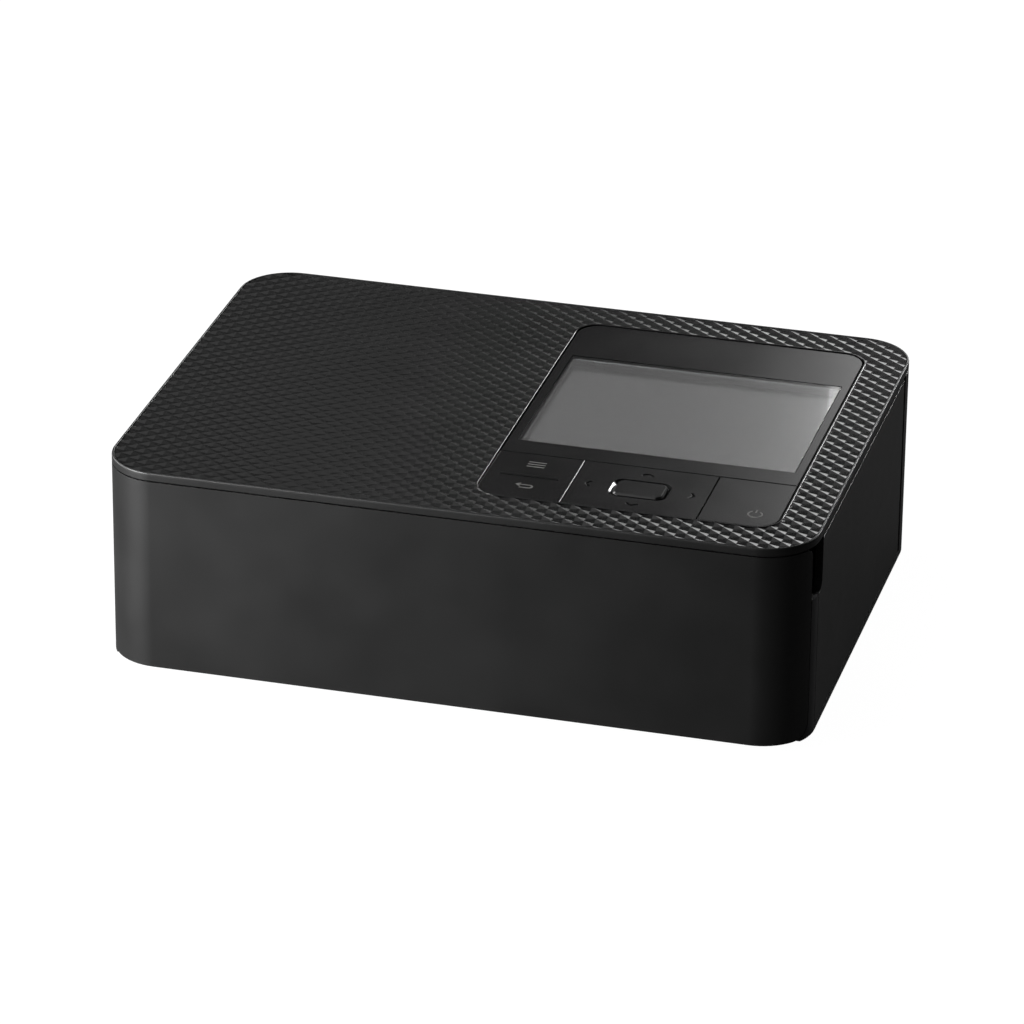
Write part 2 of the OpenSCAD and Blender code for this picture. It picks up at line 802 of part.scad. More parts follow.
module front_cover() color(black) difference() {
    union() {
        intersection() {
            translate([0, 0, foot_h]) linear_extrude(shell_z - foot_h) ring(0, wall);
            rotate([90, 0, 90]) linear_extrude(case_w + 2 * over, center = true) cover_profile();
        }
        translate([0, 0, pivot_z - hinge_in]) linear_extrude(lip_h) between(front - over, pivot_y) outline(0);
        for (s = [-1, 1]) {
            x0 = s > 0 ? bracket_x + bracket_w + gap : -bracket_x - bracket_w - gap - ear_w;
            rod(x0, x0 + ear_w, pivot_y, pivot_z, ear_r);
            translate([x0, front + wall / 2, pivot_z - ear_r]) cube([ear_w, hinge_in - wall / 2, 2 * ear_r]);
            translate([s * bay_w / 2 - catch_w / 2, front + wall / 2, catch_z])
                cube([catch_w, catch_l, catch_t]);
        }
        for (x = [-cover_rib_x:cover_rib_pitch:cover_rib_x])
            translate([x - rib_t / 2, front + wall - cover_rib_bite, pivot_z])
                cube([rib_t, cover_rib_d, cover_rib_h]);
    }
    for (s = [-1, 1]) {
        x0 = s > 0 ? bracket_x - gap : -bracket_x - bracket_w - gap;
        translate([x0, front + wall, foot_h]) cube([bracket_w + 2 * gap, hinge_in, hinge_in + over]);
        rod(s > 0 ? x0 : x0 - ear_w - over, s > 0 ? x0 + bracket_w + ear_w + over : x0 + 2 * over,
            pivot_y, pivot_z, cover_pin_r);
    }
    round_top_corner();
}

// the cover's upper right corner is rounded where it meets the finger notch
module round_top_corner() {
    r = cover_corner_r;
    translate([plate_x, cover_end - r, shell_z - r]) difference() {
        cube([side, r + over, r + over]);
        translate([-over, 0, 0]) rotate([0, 90, 0]) cylinder(h = side + 2 * over, r = r);
    }
}

module cover_pins() color(steel) for (s = [-1, 1])
    rod(s > 0 ? bracket_x + pin_short : -bracket_x - bracket_w - gap - ear_w + pin_back,
        s > 0 ? bracket_x + bracket_w + gap + ear_w - pin_back : -bracket_x - pin_short,
        pivot_y, pivot_z, cover_pin_r);

module ribbon_door() color(black) difference() {
    union() {
        translate([side - wall, door_start, door_z]) cube([wall, knuckle_y - door_start, door_top - door_z]);
        translate([knuckle_x, knuckle_y, door_z]) cylinder(h = door_top - door_z, r = knuckle_r);
        for (z = [door_z + door_rib_low, door_top - door_rib_high])
            translate([side - wall - door_rib_d, door_start + door_rib_y, z])
                cube([door_rib_d + door_bite, door_len - door_rib_short, rib_t]);
        translate([side - wall - door_catch_d, door_start + door_catch_y, door_catch_z])
            cube([door_catch_d + door_catch_bite, rib_t, door_catch_h]);
    }
    notch_cut();
    for (z = [door_z - over, door_top - pin_hold]) translate([knuckle_x, knuckle_y, z])
        cylinder(h = pin_hold + over, r = door_pin_r);
    door_corner();
}

// takes the sharp corner off the door's lower front end
module door_corner() {
    r = door_corner_r;
    translate([side - wall - over, door_start - over, door_z - over]) difference() {
        cube([wall + 2 * over, r + over, r + over]);
        translate([-over, r + over, r + over]) rotate([0, 90, 0]) cylinder(h = wall + 4 * over, r = r);
    }
}

module door_pins() color(steel) {
    translate([knuckle_x, knuckle_y, door_pin_z + 0.2]) cylinder(h = door_pin_l + 2, r = door_pin_r);
    translate([knuckle_x, knuckle_y, door_top - pin_hold])
        cylinder(h = door_pin_l + door_top_gap + pin_hold - 0.2, r = door_pin_r);
}

// mouth of the ribbon bay: two chambers joined by the slot that the ribbon's web passes through
module bay_mouth(grow) {
    for (y = [front_spool_y, rear_spool_y])
        translate([y - chamber_d / 2 - grow, spool_z - chamber_h / 2 - grow])
            square([chamber_d + 2 * grow, chamber_h + 2 * grow]);
    translate([front_spool_y - chamber_d / 2 - grow, paper_z + 1 - grow])
        square([spool_gap + chamber_d + 2 * grow, web_slot + 2 * grow]);
}

module ribbon_guide() color(dark) difference() {
    union() {
        along_x(guide_x, guide_t) difference() {
            translate([door_start + notch_l, pan_z]) square([knuckle_y - door_start - notch_l - guide_short,
                shell_z - pan_z - guide_short]);
            bay_mouth(0);
        }
        along_x(plate_x + plate_t, guide_x - plate_x - plate_t + guide_bite) difference() {
            bay_mouth(rib_t);
            bay_mouth(0);
        }
        for (y = [door_start + notch_l + 2, rear_spool_y + chamber_d / 2 + over])
            translate([plate_x + plate_t, y, pan_z]) cube([guide_x - plate_x, web_t, guide_web_h]);
    }
    translate([guide_x - over, latch_y - latch_d / 2, latch_z - latch_h / 2 - latch_travel])
        cube([guide_t + 2 * over, latch_d, latch_h + latch_travel]);
}

module latch_lever() color(ivory) {
    translate([guide_x - gap, latch_y - latch_d / 2 + gap, latch_z - latch_h / 2 + gap])
        cube([guide_t + latch_out, latch_d - 2 * gap, latch_h - 2 * gap]);
    translate([guide_x - gap - latch_t, latch_y - latch_d / 2 - latch_t,
        latch_z - latch_h / 2 - latch_travel - 2])
        cube([latch_t, latch_d + 2 * latch_t, latch_h + latch_travel + 4]);
}

module panel_slab(h) {
    translate([panel_x + panel_w / 2, panel_y + panel_d / 2, panel_z - h])
        slab(panel_w, panel_d, panel_r, h, key_break);
}

// part of the panel's face between two places across and along
module panel_piece(x0, x1, y0, y1, h) {
    intersection() {
        panel_slab(h);
        translate([x0, y0, 0]) cube([x1 - x0, y1 - y0, case_h]);
    }
}

module stems(places, z1) {
    for (p = places) translate([p[0], p[1], stem_z]) cylinder(h = z1 - stem_z, r = stem_r);
}

module panel_frame() color(dark) difference() {
    union() {
        panel_piece(panel_x, panel_x + panel_w, key_end + gap / 2, rear, panel_z - deck_top + 0.01);
        translate([panel_x - tray_out, panel_y - tray_out, deck_z])
            cube([panel_w + 2 * tray_out, panel_d + 2 * tray_out, deck_t]);
        translate([panel_x + panel_w / 2, panel_y + panel_d / 2, deck_z]) difference() {
            linear_extrude(rim_z - deck_z)
                square([panel_w + 2 * tray_out, panel_d + 2 * tray_out], center = true);
            linear_extrude(case_h) square([panel_w + 2 * gap, panel_d + 2 * gap], center = true);
        }
    }
    translate([window_x, window_y, deck_z - over]) cube([window_w, window_d, case_h]);
    translate([lcd_x - fit, lcd_y - fit, deck_z - over])
        cube([lcd_w + 2 * fit, lcd_d + 2 * fit, lcd_z + lcd_t + fit - deck_z + over]);
    for (p = all_stems) translate([p[0], p[1], deck_z - over])
        cylinder(h = deck_t + 2 * over, r = stem_r + stem_room);
}

module display_window() color("#101214") translate([window_x + fit, window_y + fit, glass_z])
    cube([window_w - 2 * fit, window_d - 2 * fit, window_t]);

module lcd_module() color("#3a3d40") translate([lcd_x, lcd_y, lcd_z]) cube([lcd_w, lcd_d, lcd_t]);

module menu_key() color(dark) {
    panel_piece(panel_x, pad_x - gap / 2, panel_y, key_end - gap / 2, key_t);
    stems(menu_stems, key_under + key_bite);
    translate([panel_x + menu_w / 2 - key_line_l / 2, key_mid - key_line_w / 2, panel_z - key_line_h / 3])
        cube([key_line_l, key_line_w, key_line_h]);
    rod(panel_x + menu_bar_in, panel_x + menu_w - menu_bar_in, key_mid, menu_bar_z, menu_bar_r);
    translate([panel_x + menu_bar_in, key_mid - menu_web / 2, menu_bar_z])
        cube([menu_w - 2 * menu_bar_in, menu_web, key_under - menu_bar_z + 0.05]);
}

module ok_hole(grow, z0, h) {
    translate([pad_mid, key_mid, z0]) linear_extrude(h)
        rounded(ok_w + 2 * grow, ok_d + 2 * grow, ok_r + grow);
}

module four_way_pad() color(dark) difference() {
    union() {
        panel_piece(pad_x + gap / 2, power_x - gap / 2, panel_y, key_end - gap / 2, key_t);
        stems(pad_stems, key_under + key_bite);
    }
    ok_hole(gap, key_under - over, case_h);
    ok_hole(moat, panel_z - moat_h, moat_h + over);
    for (p = pad_stems) chevron(p);
}

// shallow engraved arrow over a stem, pointing away from the middle
module chevron(p) {
    a = atan2(p[1] - key_mid, p[0] - pad_mid);
    w = arrow_d / 2;
    t = arrow_line;
    translate([p[0], p[1], panel_z - arrow_deep]) rotate(a) linear_extrude(over)
        polygon([[-w, -arrow_half], [t - w, -arrow_half], [w, 0], [t - w, arrow_half], [-w, arrow_half],
            [w - t, 0]]);
}

// ring under the pad, with round bars on which the ring tips sideways and the pad to and fro
module pad_ring() color(ivory) translate([pad_mid, key_mid, ring_z]) {
    difference() {
        linear_extrude(ring_t, center = true) square([ring_w, ring_d], center = true);
        linear_extrude(ring_t + 2 * over, center = true)
            square([ring_w - 2 * ring_rim, ring_d - 2 * ring_rim], center = true);
    }
    for (s = [-1, 1]) {
        translate([0, s * (ring_d - ring_rim) / 2, 0]) rotate([90, 0, 0])
            cylinder(h = ring_bar_l, r = ring_bar_r, center = true);
        translate([s * (ring_w - ring_rim) / 2, 0, 0]) rotate([0, 90, 0])
            cylinder(h = ring_bar_l, r = ring_bar_r, center = true);
    }
}

module ok_button() color(dark) {
    translate([pad_mid, key_mid, key_under]) slab(ok_w, ok_d, ok_r, case_h - key_under, ok_break);
    stems(ok_stems, key_under + key_bite);
}

module power_button() color(dark) {
    panel_piece(power_x + gap / 2, panel_x + panel_w, panel_y, key_end - gap / 2, key_t);
    stems(power_stems, key_under + key_bite);
}

// board under the keys, hung from the tray by six posts
module key_board() color(board_green) {
    translate([panel_x + over, panel_y + over, board_top - board_t])
        cube([panel_w - 2 * over, key_row - 2 * over, board_t]);
    for (x = [panel_x + post_in, power_x - 1, panel_x + panel_w - post_in - post_w],
            y = [panel_y + post_w + 0.5, key_end - post_in - post_w])
        translate([x, y, board_top]) cube([post_w, post_w, deck_z - board_top]);
}

module dome_switches() color(steel) for (p = all_stems)
    translate([p[0], p[1], board_top]) cylinder(h = dome_t, r1 = dome_r, r2 = dome_top_r);

module main_board() color(board_green) {
    translate([-main_side, -main_half, main_z]) cube([main_side + panel_x - main_gap, 2 * main_half, main_t]);
    for (c = chips) translate([c[0], c[1], main_z + main_t]) cube([c[2], c[3], c[4]]);
    for (y = [-main_leg_y, main_leg_y]) translate([-plate_x - plate_t, y, plate_top])
        cube([plate_t + 2, main_leg_d, main_z - plate_top]);
}

module card_socket() color(steel) difference() {
    translate([-side + wall + fit, card_y - card_w / 2 - card_wall, main_z - socket_h])
        cube([card_l, card_w + 2 * card_wall, socket_h]);
    translate([-side + wall - over, card_y - card_w / 2, port_z - card_h / 2]) cube([card_deep, card_w, card_h]);
}

module data_socket() color(steel) difference() {
    translate([-side + wall + fit, port_y - port_w / 2 - port_wall, main_z - socket_h])
        cube([port_l, port_w + 2 * port_wall, socket_h]);
    port_hole(port_y, port_z, port_w - port_play, port_h - port_play, -side + wall - over, port_deep);
}

// side plate of the chassis in the YZ plane, with bores for the given shafts
module plate(bores) {
    difference() {
        union() {
            translate([plate_front, pan_z])
                square([plate_rear - plate_front, plate_top - pan_z - plate_notch_h]);
            translate([plate_front + plate_notch_l, pan_z])
                square([plate_rear - plate_front - plate_notch_l, plate_top - pan_z]);
        }
        for (b = bores) translate([b[0], b[1]]) circle(b[2]);
        translate([plate_front, pan_z]) square([plate_heel_l, plate_heel_h]);
    }
}

function bush_r(s) = s[2] + run + (s[1] == pinch_z || s[1] == capstan_z ? thin_bush_wall : bush_wall);

module left_plate() color(steel) along_x(-plate_x - plate_t, plate_t)
    plate([for (s = concat(shafts, hubs)) [s[0], s[1], bush_r(s)]]);

module right_plate() color(steel) along_x(plate_x, plate_t) difference() {
    plate([for (s = shafts) [s[0], s[1], bush_r(s)]]);
    bay_mouth(0);
}

// bushes pressed into both plates
module roller_bushes() color(ivory) {
    for (s = concat(shafts, hubs)) bush(-plate_x - plate_t, s);
    for (s = shafts) bush(plate_x, s);
}

module bush(x, s) {
    difference() {
        rod(x, x + plate_t, s[0], s[1], bush_r(s));
        rod(x - over, x + plate_t + over, s[0], s[1], s[2] + run);
    }
}

// plate that carries the motors, outside the gears
module drive_plate() color(steel) along_x(drive_x, drive_t) difference() {
    union() {
        translate([plate_front, pan_z]) square([capstan_y + drive_tail - plate_front, drive_low_h]);
        translate([pickup_y - drive_ahead, pan_z])
            square([front_spool_y - pickup_y + drive_ahead + drive_behind, plate_top - pan_z - drive_short]);
    }
    for (p = [feed_at, ribbon_at]) translate(p) circle(pinion_shaft_r + run);
    translate(idler_at) circle(stud_r);
}

module paper_bay() color(dark) difference() {
    union() {
        translate([-bay_w / 2 - bay_wall, strip_start, bay_floor - bay_t])
            cube([bay_w + 2 * bay_wall, bay_end - strip_start, bay_t]);
        for (s = [-1, 1])
            translate([s * (bay_w + bay_wall) / 2 - bay_wall / 2, strip_start, bay_floor - bay_t]) {
                cube([bay_wall, bay_deep - strip_start, bay_h]);
                cube([bay_wall, bay_end - strip_start, bay_low_h]);
            }
        translate([-bay_w / 2, bay_end - bay_t, bay_floor - 0.1]) cube([bay_w, bay_t, bay_stop_h]);
        for (x = [-bay_leg_x:bay_leg_pitch:bay_leg_x], y = [strip_start + 3, pickup_y])
            translate([x - bay_leg_w / 2, y, pan_z]) cube([bay_leg_w, bay_t, bay_floor - bay_t + 0.1 - pan_z]);
    }
    for (x = [-tyre_x, tyre_x]) translate([x - bay_hole / 2, pickup_y - bay_hole / 2, bay_floor - bay_t - over])
        cube([bay_hole, bay_hole, bay_t + 2 * over]);
}

// deck that leads the paper from the bay past the rollers to the exit
module paper_guide() color(dark) difference() {
    union() {
        translate([-guide_w / 2, guide_y, paper_z - over - deck_h]) cube([guide_w, guide_end - guide_y, deck_h]);
        for (y = [guide_y + 0.5, capstan_y + guide_wall_y]) translate([-guide_wall_l / 2, y, pan_z])
            cube([guide_wall_l, guide_wall_t, paper_z - 2 - pan_z]);
        for (x = [-rail_x:rail_pitch:rail_x]) translate([x - rail_w / 2, capstan_y + rail_y, paper_z - 1.1])
            cube([rail_w, guide_end - 0.8 - capstan_y - rail_y, rail_h]);
    }
    translate([-roller_slot / 2, print_y - platen_r - platen_room, pan_z])
        cube([roller_slot, 2 * (platen_r + platen_room), guide_cut]);
    translate([-roller_slot / 2, capstan_y - capstan_r - capstan_room, pan_z])
        cube([roller_slot, 2 * (capstan_r + capstan_room), guide_cut]);
    for (y = [print_y, capstan_y]) translate([-bay_w, y - shaft_room, pan_z])
        cube([2 * bay_w, 2 * shaft_room, shaft_cut]);
    translate([-bay_w, capstan_y - thin_r - platen_room, pan_z])
        cube([2 * bay_w, 2 * (thin_r + platen_room), guide_cut]);
}

module platen_roller() color(rubber) {
    rod(-roller_l / 2, roller_l / 2, print_y, platen_z, platen_r);
    rod(shaft_start, plate_x + shaft_end, print_y, platen_z, platen_shaft_r);
}

// gear on a shaft, with a hub that reaches to the left plate
module shaft_gear(n, turn, y, z, bore, hub) {
    along_x(gear_x, gear_w) translate([y, z]) difference() {
        gear(n, turn);
        circle(bore);
    }
    along_x(gear_x + gear_w, -plate_x - plate_t - gap - gear_x - gear_w) translate([y, z]) difference() {
        circle(hub);
        circle(bore);
    }
}

module platen_gear() color(ivory) shaft_gear(platen_n, 0, print_y, platen_z, platen_shaft_r, hub_r);

module capstan() color(steel) {
    rod(-roller_l / 2, roller_l / 2, capstan_y, capstan_z, capstan_r);
    rod(shaft_start, plate_x + shaft_end, capstan_y, capstan_z, thin_r);
}

module capstan_gear() color(ivory) shaft_gear(capstan_n,
    mesh(idler_turn, idler_n, capstan_n, idler_to_capstan), capstan_y, capstan_z, thin_r, capstan_hub_r);

module idler_gear() color(ivory)
    shaft_gear(idler_n, idler_turn, idler_at[0], idler_at[1], stud_r + run, idler_hub_r);

module idler_stud() color(steel) rod(drive_x, -plate_x - plate_t, idler_at[0], idler_at[1], stud_r);

module pinch_roller() color(rubber) {
    rod(-roller_l / 2, roller_l / 2, capstan_y, pinch_z, pinch_r);
    rod(-plate_x - short_end, plate_x + shaft_end, capstan_y, pinch_z, pinch_shaft_r);
}

module pickup_shaft() color(steel) rod(shaft_start, plate_x + shaft_end, pickup_y, pickup_z, pickup_shaft_r);

module pickup_tyres() color(rubber) for (x = [-tyre_x, 0, tyre_x]) difference() {
    rod(x - tyre_l / 2, x + tyre_l / 2, pickup_y, pickup_z, pickup_r);
    rod(x - tyre_l / 2 - over, x + tyre_l / 2 + over, pickup_y, pickup_z, pickup_shaft_r);
}

module pickup_gear() color(ivory) shaft_gear(pickup_n, 0, pickup_y, pickup_z, pickup_shaft_r, hub_r);

module motor(p) {
    rod(drive_x - motor_l, drive_x, p[0], p[1], motor_r);
    rod(drive_x - motor_l - boss_l, drive_x - motor_l, p[0], p[1], boss_r);
}

module pinion(p, turn) {
    along_x(gear_x, gear_w) translate(p) gear(pinion_n, turn);
    rod(drive_x + gap, gear_x, p[0], p[1], pinion_shaft_r);
}

module feed_motor() color(steel) motor(feed_at);

module feed_pinion() color(brass) pinion(feed_at, mesh(0, platen_n, pinion_n, feed_angle));

module ribbon_motor() color(steel) motor(ribbon_at);

module ribbon_pinion() color(brass) pinion(ribbon_at, ribbon_turn);

// splined hub that turns a ribbon core, on a shaft through the left plate
module spool_hub(y) {
    rod(gap - plate_x, flange_x, y, spool_z, flange_r);
    rod(flange_x, spool_end, y, spool_z, spool_r);
    for (a = [0:60:300]) translate([flange_x, y, spool_z]) rotate([a, 0, 0])
        translate([0, -spline_w / 2, spool_r - 0.4]) cube([spline_l, spline_w, spline_h]);
}

module takeup_hub() color(ivory) {
    spool_hub(front_spool_y);
    shaft_gear(takeup_n, mesh(ribbon_turn, pinion_n, takeup_n, ribbon_to_takeup), front_spool_y, spool_z,
        hub_shaft_r - 0.1, hub_r);
    rod(shaft_start, hub_bite - plate_x, front_spool_y, spool_z, hub_shaft_r);
}

module supply_hub() color(ivory) {
    spool_hub(rear_spool_y);
    rod(-plate_x - plate_t - supply_out, hub_bite - plate_x, rear_spool_y, spool_z, hub_shaft_r);
    rod(-plate_x - plate_t - supply_out, -plate_x - plate_t - gap, rear_spool_y, spool_z, hub_r);
}

// pressed steel arm over the rear ribbon chamber, which carries the head down to the paper
module head_arm() color(steel) difference() {
    union() {
        for (s = [-1, 1]) translate([s * arm_x - plate_t / 2, 0, 0]) {
            translate([0, arm_front, head_pivot_z + arm_low]) cube([plate_t, arm_l + 2, arm_h]);
            translate([0, head_pivot_y - lug_r, head_pivot_z - lug_r]) cube([plate_t, 2 * lug_r, 1.5 * lug_r]);
        }
        translate([-arm_x - plate_t / 2, arm_front, head_pivot_z + arm_low + over])
            cube([2 * arm_x + plate_t, arm_l, plate_t]);
    }
    rod(-plate_x, plate_x, head_pivot_y, head_pivot_z, thin_r);
    for (x = [-arm_hole_x, 0, arm_hole_x]) translate([x - arm_hole_w / 2, print_y + head_d, head_pivot_z])
        cube([arm_hole_w, arm_hole_d, 2 * lug_r]);
}

module heat_sink() color(steel) {
    translate([-roller_l / 2, print_y - head_d / 2, sink_z]) cube([roller_l, head_d, sink_t]);
    for (i = [0:fin_n - 1])
        translate([-roller_l / 2, print_y - head_d / 2 + i * (head_d - fin_t) / (fin_n - 1), sink_z])
            cube([roller_l, fin_t, head_pivot_z + arm_low + over - sink_z]);
}

module print_head() color(ivory) {
    translate([-roller_l / 2, print_y - head_d / 2, sink_z - ceramic_t]) cube([roller_l, head_d, ceramic_t]);
    translate([-roller_l / 2, print_y - bead_w / 2, head_z]) cube([roller_l, bead_w, bead_h]);
}

module head_shaft() color(steel)
    rod(-plate_x - short_end, plate_x + shaft_end, head_pivot_y, head_pivot_z, thin_r);

base_pan();
left_cover();
rear_cover();
top_cover();
front_frame();
rubber_feet();
front_cover();
cover_pins();
ribbon_door();
door_pins();
ribbon_guide();
panel_frame();
display_window();
lcd_module();
menu_key();
pad_ring();
four_way_pad();
ok_button();
power_button();
key_board();
dome_switches();
main_board();
card_socket();
data_socket();
dc_inlet();
left_plate();
right_plate();
drive_plate();
paper_bay();
paper_guide();
platen_roller();
platen_gear();
capstan();
capstan_gear();
pinch_roller();
pickup_shaft();
pickup_tyres();
pickup_gear();
idler_gear();
idler_stud();
feed_motor();
feed_pinion();
ribbon_motor();
ribbon_pinion();
takeup_hub();
supply_hub();
roller_bushes();
head_arm();
heat_sink();
print_head();
head_shaft();
latch_lever();
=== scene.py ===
# Looks of a compact photo printer: black moulded case with a pyramid-textured top,
# a satin control panel with a display, and the works behind its two covers.
import json
from math import ceil, cos, pi, radians, sin

import bmesh
import bpy
from mathutils import Matrix, Vector


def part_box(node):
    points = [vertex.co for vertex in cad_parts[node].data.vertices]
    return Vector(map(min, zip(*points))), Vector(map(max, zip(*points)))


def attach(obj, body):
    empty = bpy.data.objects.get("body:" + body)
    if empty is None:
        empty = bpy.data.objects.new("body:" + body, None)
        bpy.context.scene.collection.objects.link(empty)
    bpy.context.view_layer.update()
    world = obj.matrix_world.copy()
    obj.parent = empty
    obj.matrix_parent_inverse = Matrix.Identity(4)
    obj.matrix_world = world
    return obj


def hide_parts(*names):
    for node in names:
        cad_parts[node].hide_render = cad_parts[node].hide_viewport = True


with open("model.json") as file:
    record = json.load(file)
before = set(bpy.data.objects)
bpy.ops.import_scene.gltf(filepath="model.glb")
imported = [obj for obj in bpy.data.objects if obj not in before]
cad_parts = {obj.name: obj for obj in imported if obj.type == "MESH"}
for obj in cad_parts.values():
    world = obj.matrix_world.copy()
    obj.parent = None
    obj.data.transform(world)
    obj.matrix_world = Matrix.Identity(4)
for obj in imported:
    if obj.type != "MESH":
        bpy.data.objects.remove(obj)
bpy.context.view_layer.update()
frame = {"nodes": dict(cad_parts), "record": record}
nodes = frame["nodes"]
mm = 0.001
print("frame loaded:", len(nodes), "nodes")


photoCamera = {  # the photograph's viewpoint, fitted to the printer's edges
    "azimuth": 14.864, "elevation": 25.364, "roll": -0.577,  # degrees
    "lens": 206.09, "sensor": 36,  # mm
    "target": (0, 0, 30.28), "aside": (1.266, 3.122), "distance": 1513.7,  # mm
    "clip": (0.05, 20),  # metres
}


def placeCamera(view):
    azimuth, elevation = radians(view["azimuth"]), radians(view["elevation"])
    back = Vector((sin(azimuth) * cos(elevation), -cos(azimuth) * cos(elevation), sin(elevation)))
    across = Vector((0, 0, 1)).cross(back).normalized()
    turn = Matrix((across, back.cross(across), back)).transposed()
    turn = turn @ Matrix.Rotation(radians(-view["roll"]), 3, "Z")
    offset = turn @ Vector((-view["aside"][0], -view["aside"][1], view["distance"]))
    data = bpy.data.cameras.new("photoCamera")
    data.sensor_width, data.lens = view["sensor"], view["lens"]
    data.clip_start, data.clip_end = view["clip"]
    camera = bpy.data.objects.new("photoCamera", data)
    bpy.context.scene.collection.objects.link(camera)
    camera.matrix_world = Matrix.Translation((Vector(view["target"]) + offset) * mm) @ turn.to_4x4()
    bpy.context.scene.camera = camera


def toLinear(colour):
    # hex sRGB to the linear values that a shader takes
    parts = [int(colour[i:i + 2], 16) / 255 for i in (1, 3, 5)]
    return [p / 12.92 if p <= 0.04045 else ((p + 0.055) / 1.055) ** 2.4 for p in parts] + [1]


def addNode(tree, kind, inputs=None, **settings):
    node = tree.nodes.new(kind)
    for name, value in settings.items():
        setattr(node, name, value)
    for name, value in (inputs or {}).items():
        if isinstance(value, bpy.types.NodeSocket):
            tree.links.new(value, node.inputs[name])
        else:
            node.inputs[name].default_value = value
    return node


def backdropShare(tree):
    # where the white backdrop stands in for the lit surface: in full to the camera and through
    # glass, in part in mirror-like reflections
    path = addNode(tree, "ShaderNodeLightPath")
    mirrored = addNode(tree, "ShaderNodeMath", {0: path.outputs["Is Glossy Ray"], 1: stage["mirrorShare"]},
                       operation="MULTIPLY")
    seen = addNode(tree, "ShaderNodeMath", {0: path.outputs["Is Camera Ray"],
                                            1: path.outputs["Is Transmission Ray"]}, operation="MAXIMUM")
    both = addNode(tree, "ShaderNodeMath", {0: seen.outputs[0], 1: mirrored.outputs[0]}, operation="MAXIMUM")
    return both.outputs[0]


def buildFloor():
    # plain pale sheet: the part that shows the lamps keeps the printer's shadow
    bm = bmesh.new()
    bmesh.ops.create_grid(bm, x_segments=4, y_segments=4, size=stage["floorSize"] / 2)
    mesh = bpy.data.meshes.new("floor")
    bm.to_mesh(mesh)
    bm.free()
    floor = bpy.data.objects.new("floor", mesh)
    bpy.context.scene.collection.objects.link(floor)
    material = bpy.data.materials.new("paleFloor")
    material.use_nodes = True
    tree = material.node_tree
    lit = tree.nodes["Principled BSDF"]
    lit.inputs["Base Color"].default_value = toLinear(stage["floorColour"])
    lit.inputs["Roughness"].default_value = 0.9
    lit.inputs["Specular IOR Level"].default_value = 0
    glow = addNode(tree, "ShaderNodeEmission",
                   {"Color": toLinear("#ffffff"), "Strength": stage["floorGlow"]})
    raised = addNode(tree, "ShaderNodeAddShader", {0: lit.outputs[0], 1: glow.outputs[0]})
    mix = addNode(tree, "ShaderNodeMixShader", {0: backdropShare(tree), 1: lit.outputs[0],
                                                2: raised.outputs[0]})
    tree.links.new(mix.outputs[0], tree.nodes["Material Output"].inputs["Surface"])
    mesh.materials.append(material)


def lightStage():
    world = bpy.data.worlds.new("studio")
    bpy.context.scene.world = world
    world.use_nodes = True
    tree = world.node_tree
    dim = tree.nodes["Background"]
    dim.inputs["Color"].default_value = toLinear("#ffffff")
    dim.inputs["Strength"].default_value = stage["sky"]
    white = addNode(tree, "ShaderNodeBackground", {"Color": toLinear("#ffffff"), "Strength": 1})
    mix = addNode(tree, "ShaderNodeMixShader", {0: backdropShare(tree), 1: dim.outputs[0],
                                                2: white.outputs[0]})
    tree.links.new(mix.outputs[0], tree.nodes["World Output"].inputs["Surface"])
    for name, lamp in lamps.items():
        data = bpy.data.lights.new(name, "AREA")
        data.shape, data.size, data.size_y = "RECTANGLE", *lamp["size"]
        data.energy, data.spread = lamp["power"], radians(lamp["spread"])
        light = bpy.data.objects.new(name, data)
        light.visible_camera = False
        bpy.context.scene.collection.objects.link(light)
        place, aim = Vector(lamp["place"]), Vector(lamp["aim"])
        turn = (aim - place).to_track_quat("-Z", "Y").to_matrix().to_4x4()
        light.matrix_world = Matrix.Translation(place) @ turn


stage = {"floorSize": 6, "floorColour": "#525252", "floorGlow": 0.98, "mirrorShare": 0.018, "sky": 0.04}
lamps = {  # sizes and places in metres, power in watts, spread in degrees
    "overheadSoftbox": {"size": (1.2, 1.2), "place": (-0.5, -0.3, 1.6), "aim": (0, 0, 0), "power": 5,
                        "spread": 180},
    "rearHighCard": {"size": (0.6, 0.7), "place": (-0.5, 1.15, 1.35), "aim": (0, 0, 0), "power": 0.75,
                     "spread": 180},
    "rearSoftbox": {"size": (1.0, 0.6), "place": (0.27, 1.5, 0.86), "aim": (0.27, 0, 0.45), "power": 4.0,
                    "spread": 180},
    "rearLowCard": {"size": (0.8, 0.5), "place": (0.23, 1.5, 0.3), "aim": (0.23, 0, 0.2), "power": 3,
                    "spread": 180},
    "rearStrip": {"size": (0.25, 0.3), "place": (0.69, 1.45, 0.38), "aim": (0, 0, 0.05), "power": 3.6,
                  "spread": 120},
    "frontLeftCard": {"size": (0.25, 0.2), "place": (-0.36, -0.32, 0.12), "aim": (-0.12, -0.066, 0.03),
                      "power": 0.8, "spread": 50},
    "leftCard": {"size": (0.6, 0.8), "place": (-0.9, 0.1, 0.3), "aim": (0, 0, 0.03), "power": 10,
                 "spread": 180},
}
placeCamera(photoCamera)
buildFloor()
lightStage()
bpy.context.scene.view_settings.view_transform = "Standard"
print("camera, floor and lamps ready")


def startMaterial(name, colour, roughness, **sockets):
    material = bpy.data.materials.new(name)
    material.use_nodes = True
    tree = material.node_tree
    shader = tree.nodes["Principled BSDF"]
    shader.inputs["Base Color"].default_value = toLinear(colour)
    shader.inputs["Roughness"].default_value = roughness
    for socket, value in sockets.items():
        shader.inputs[socket.replace("_", " ")].default_value = value
    return material, tree, shader


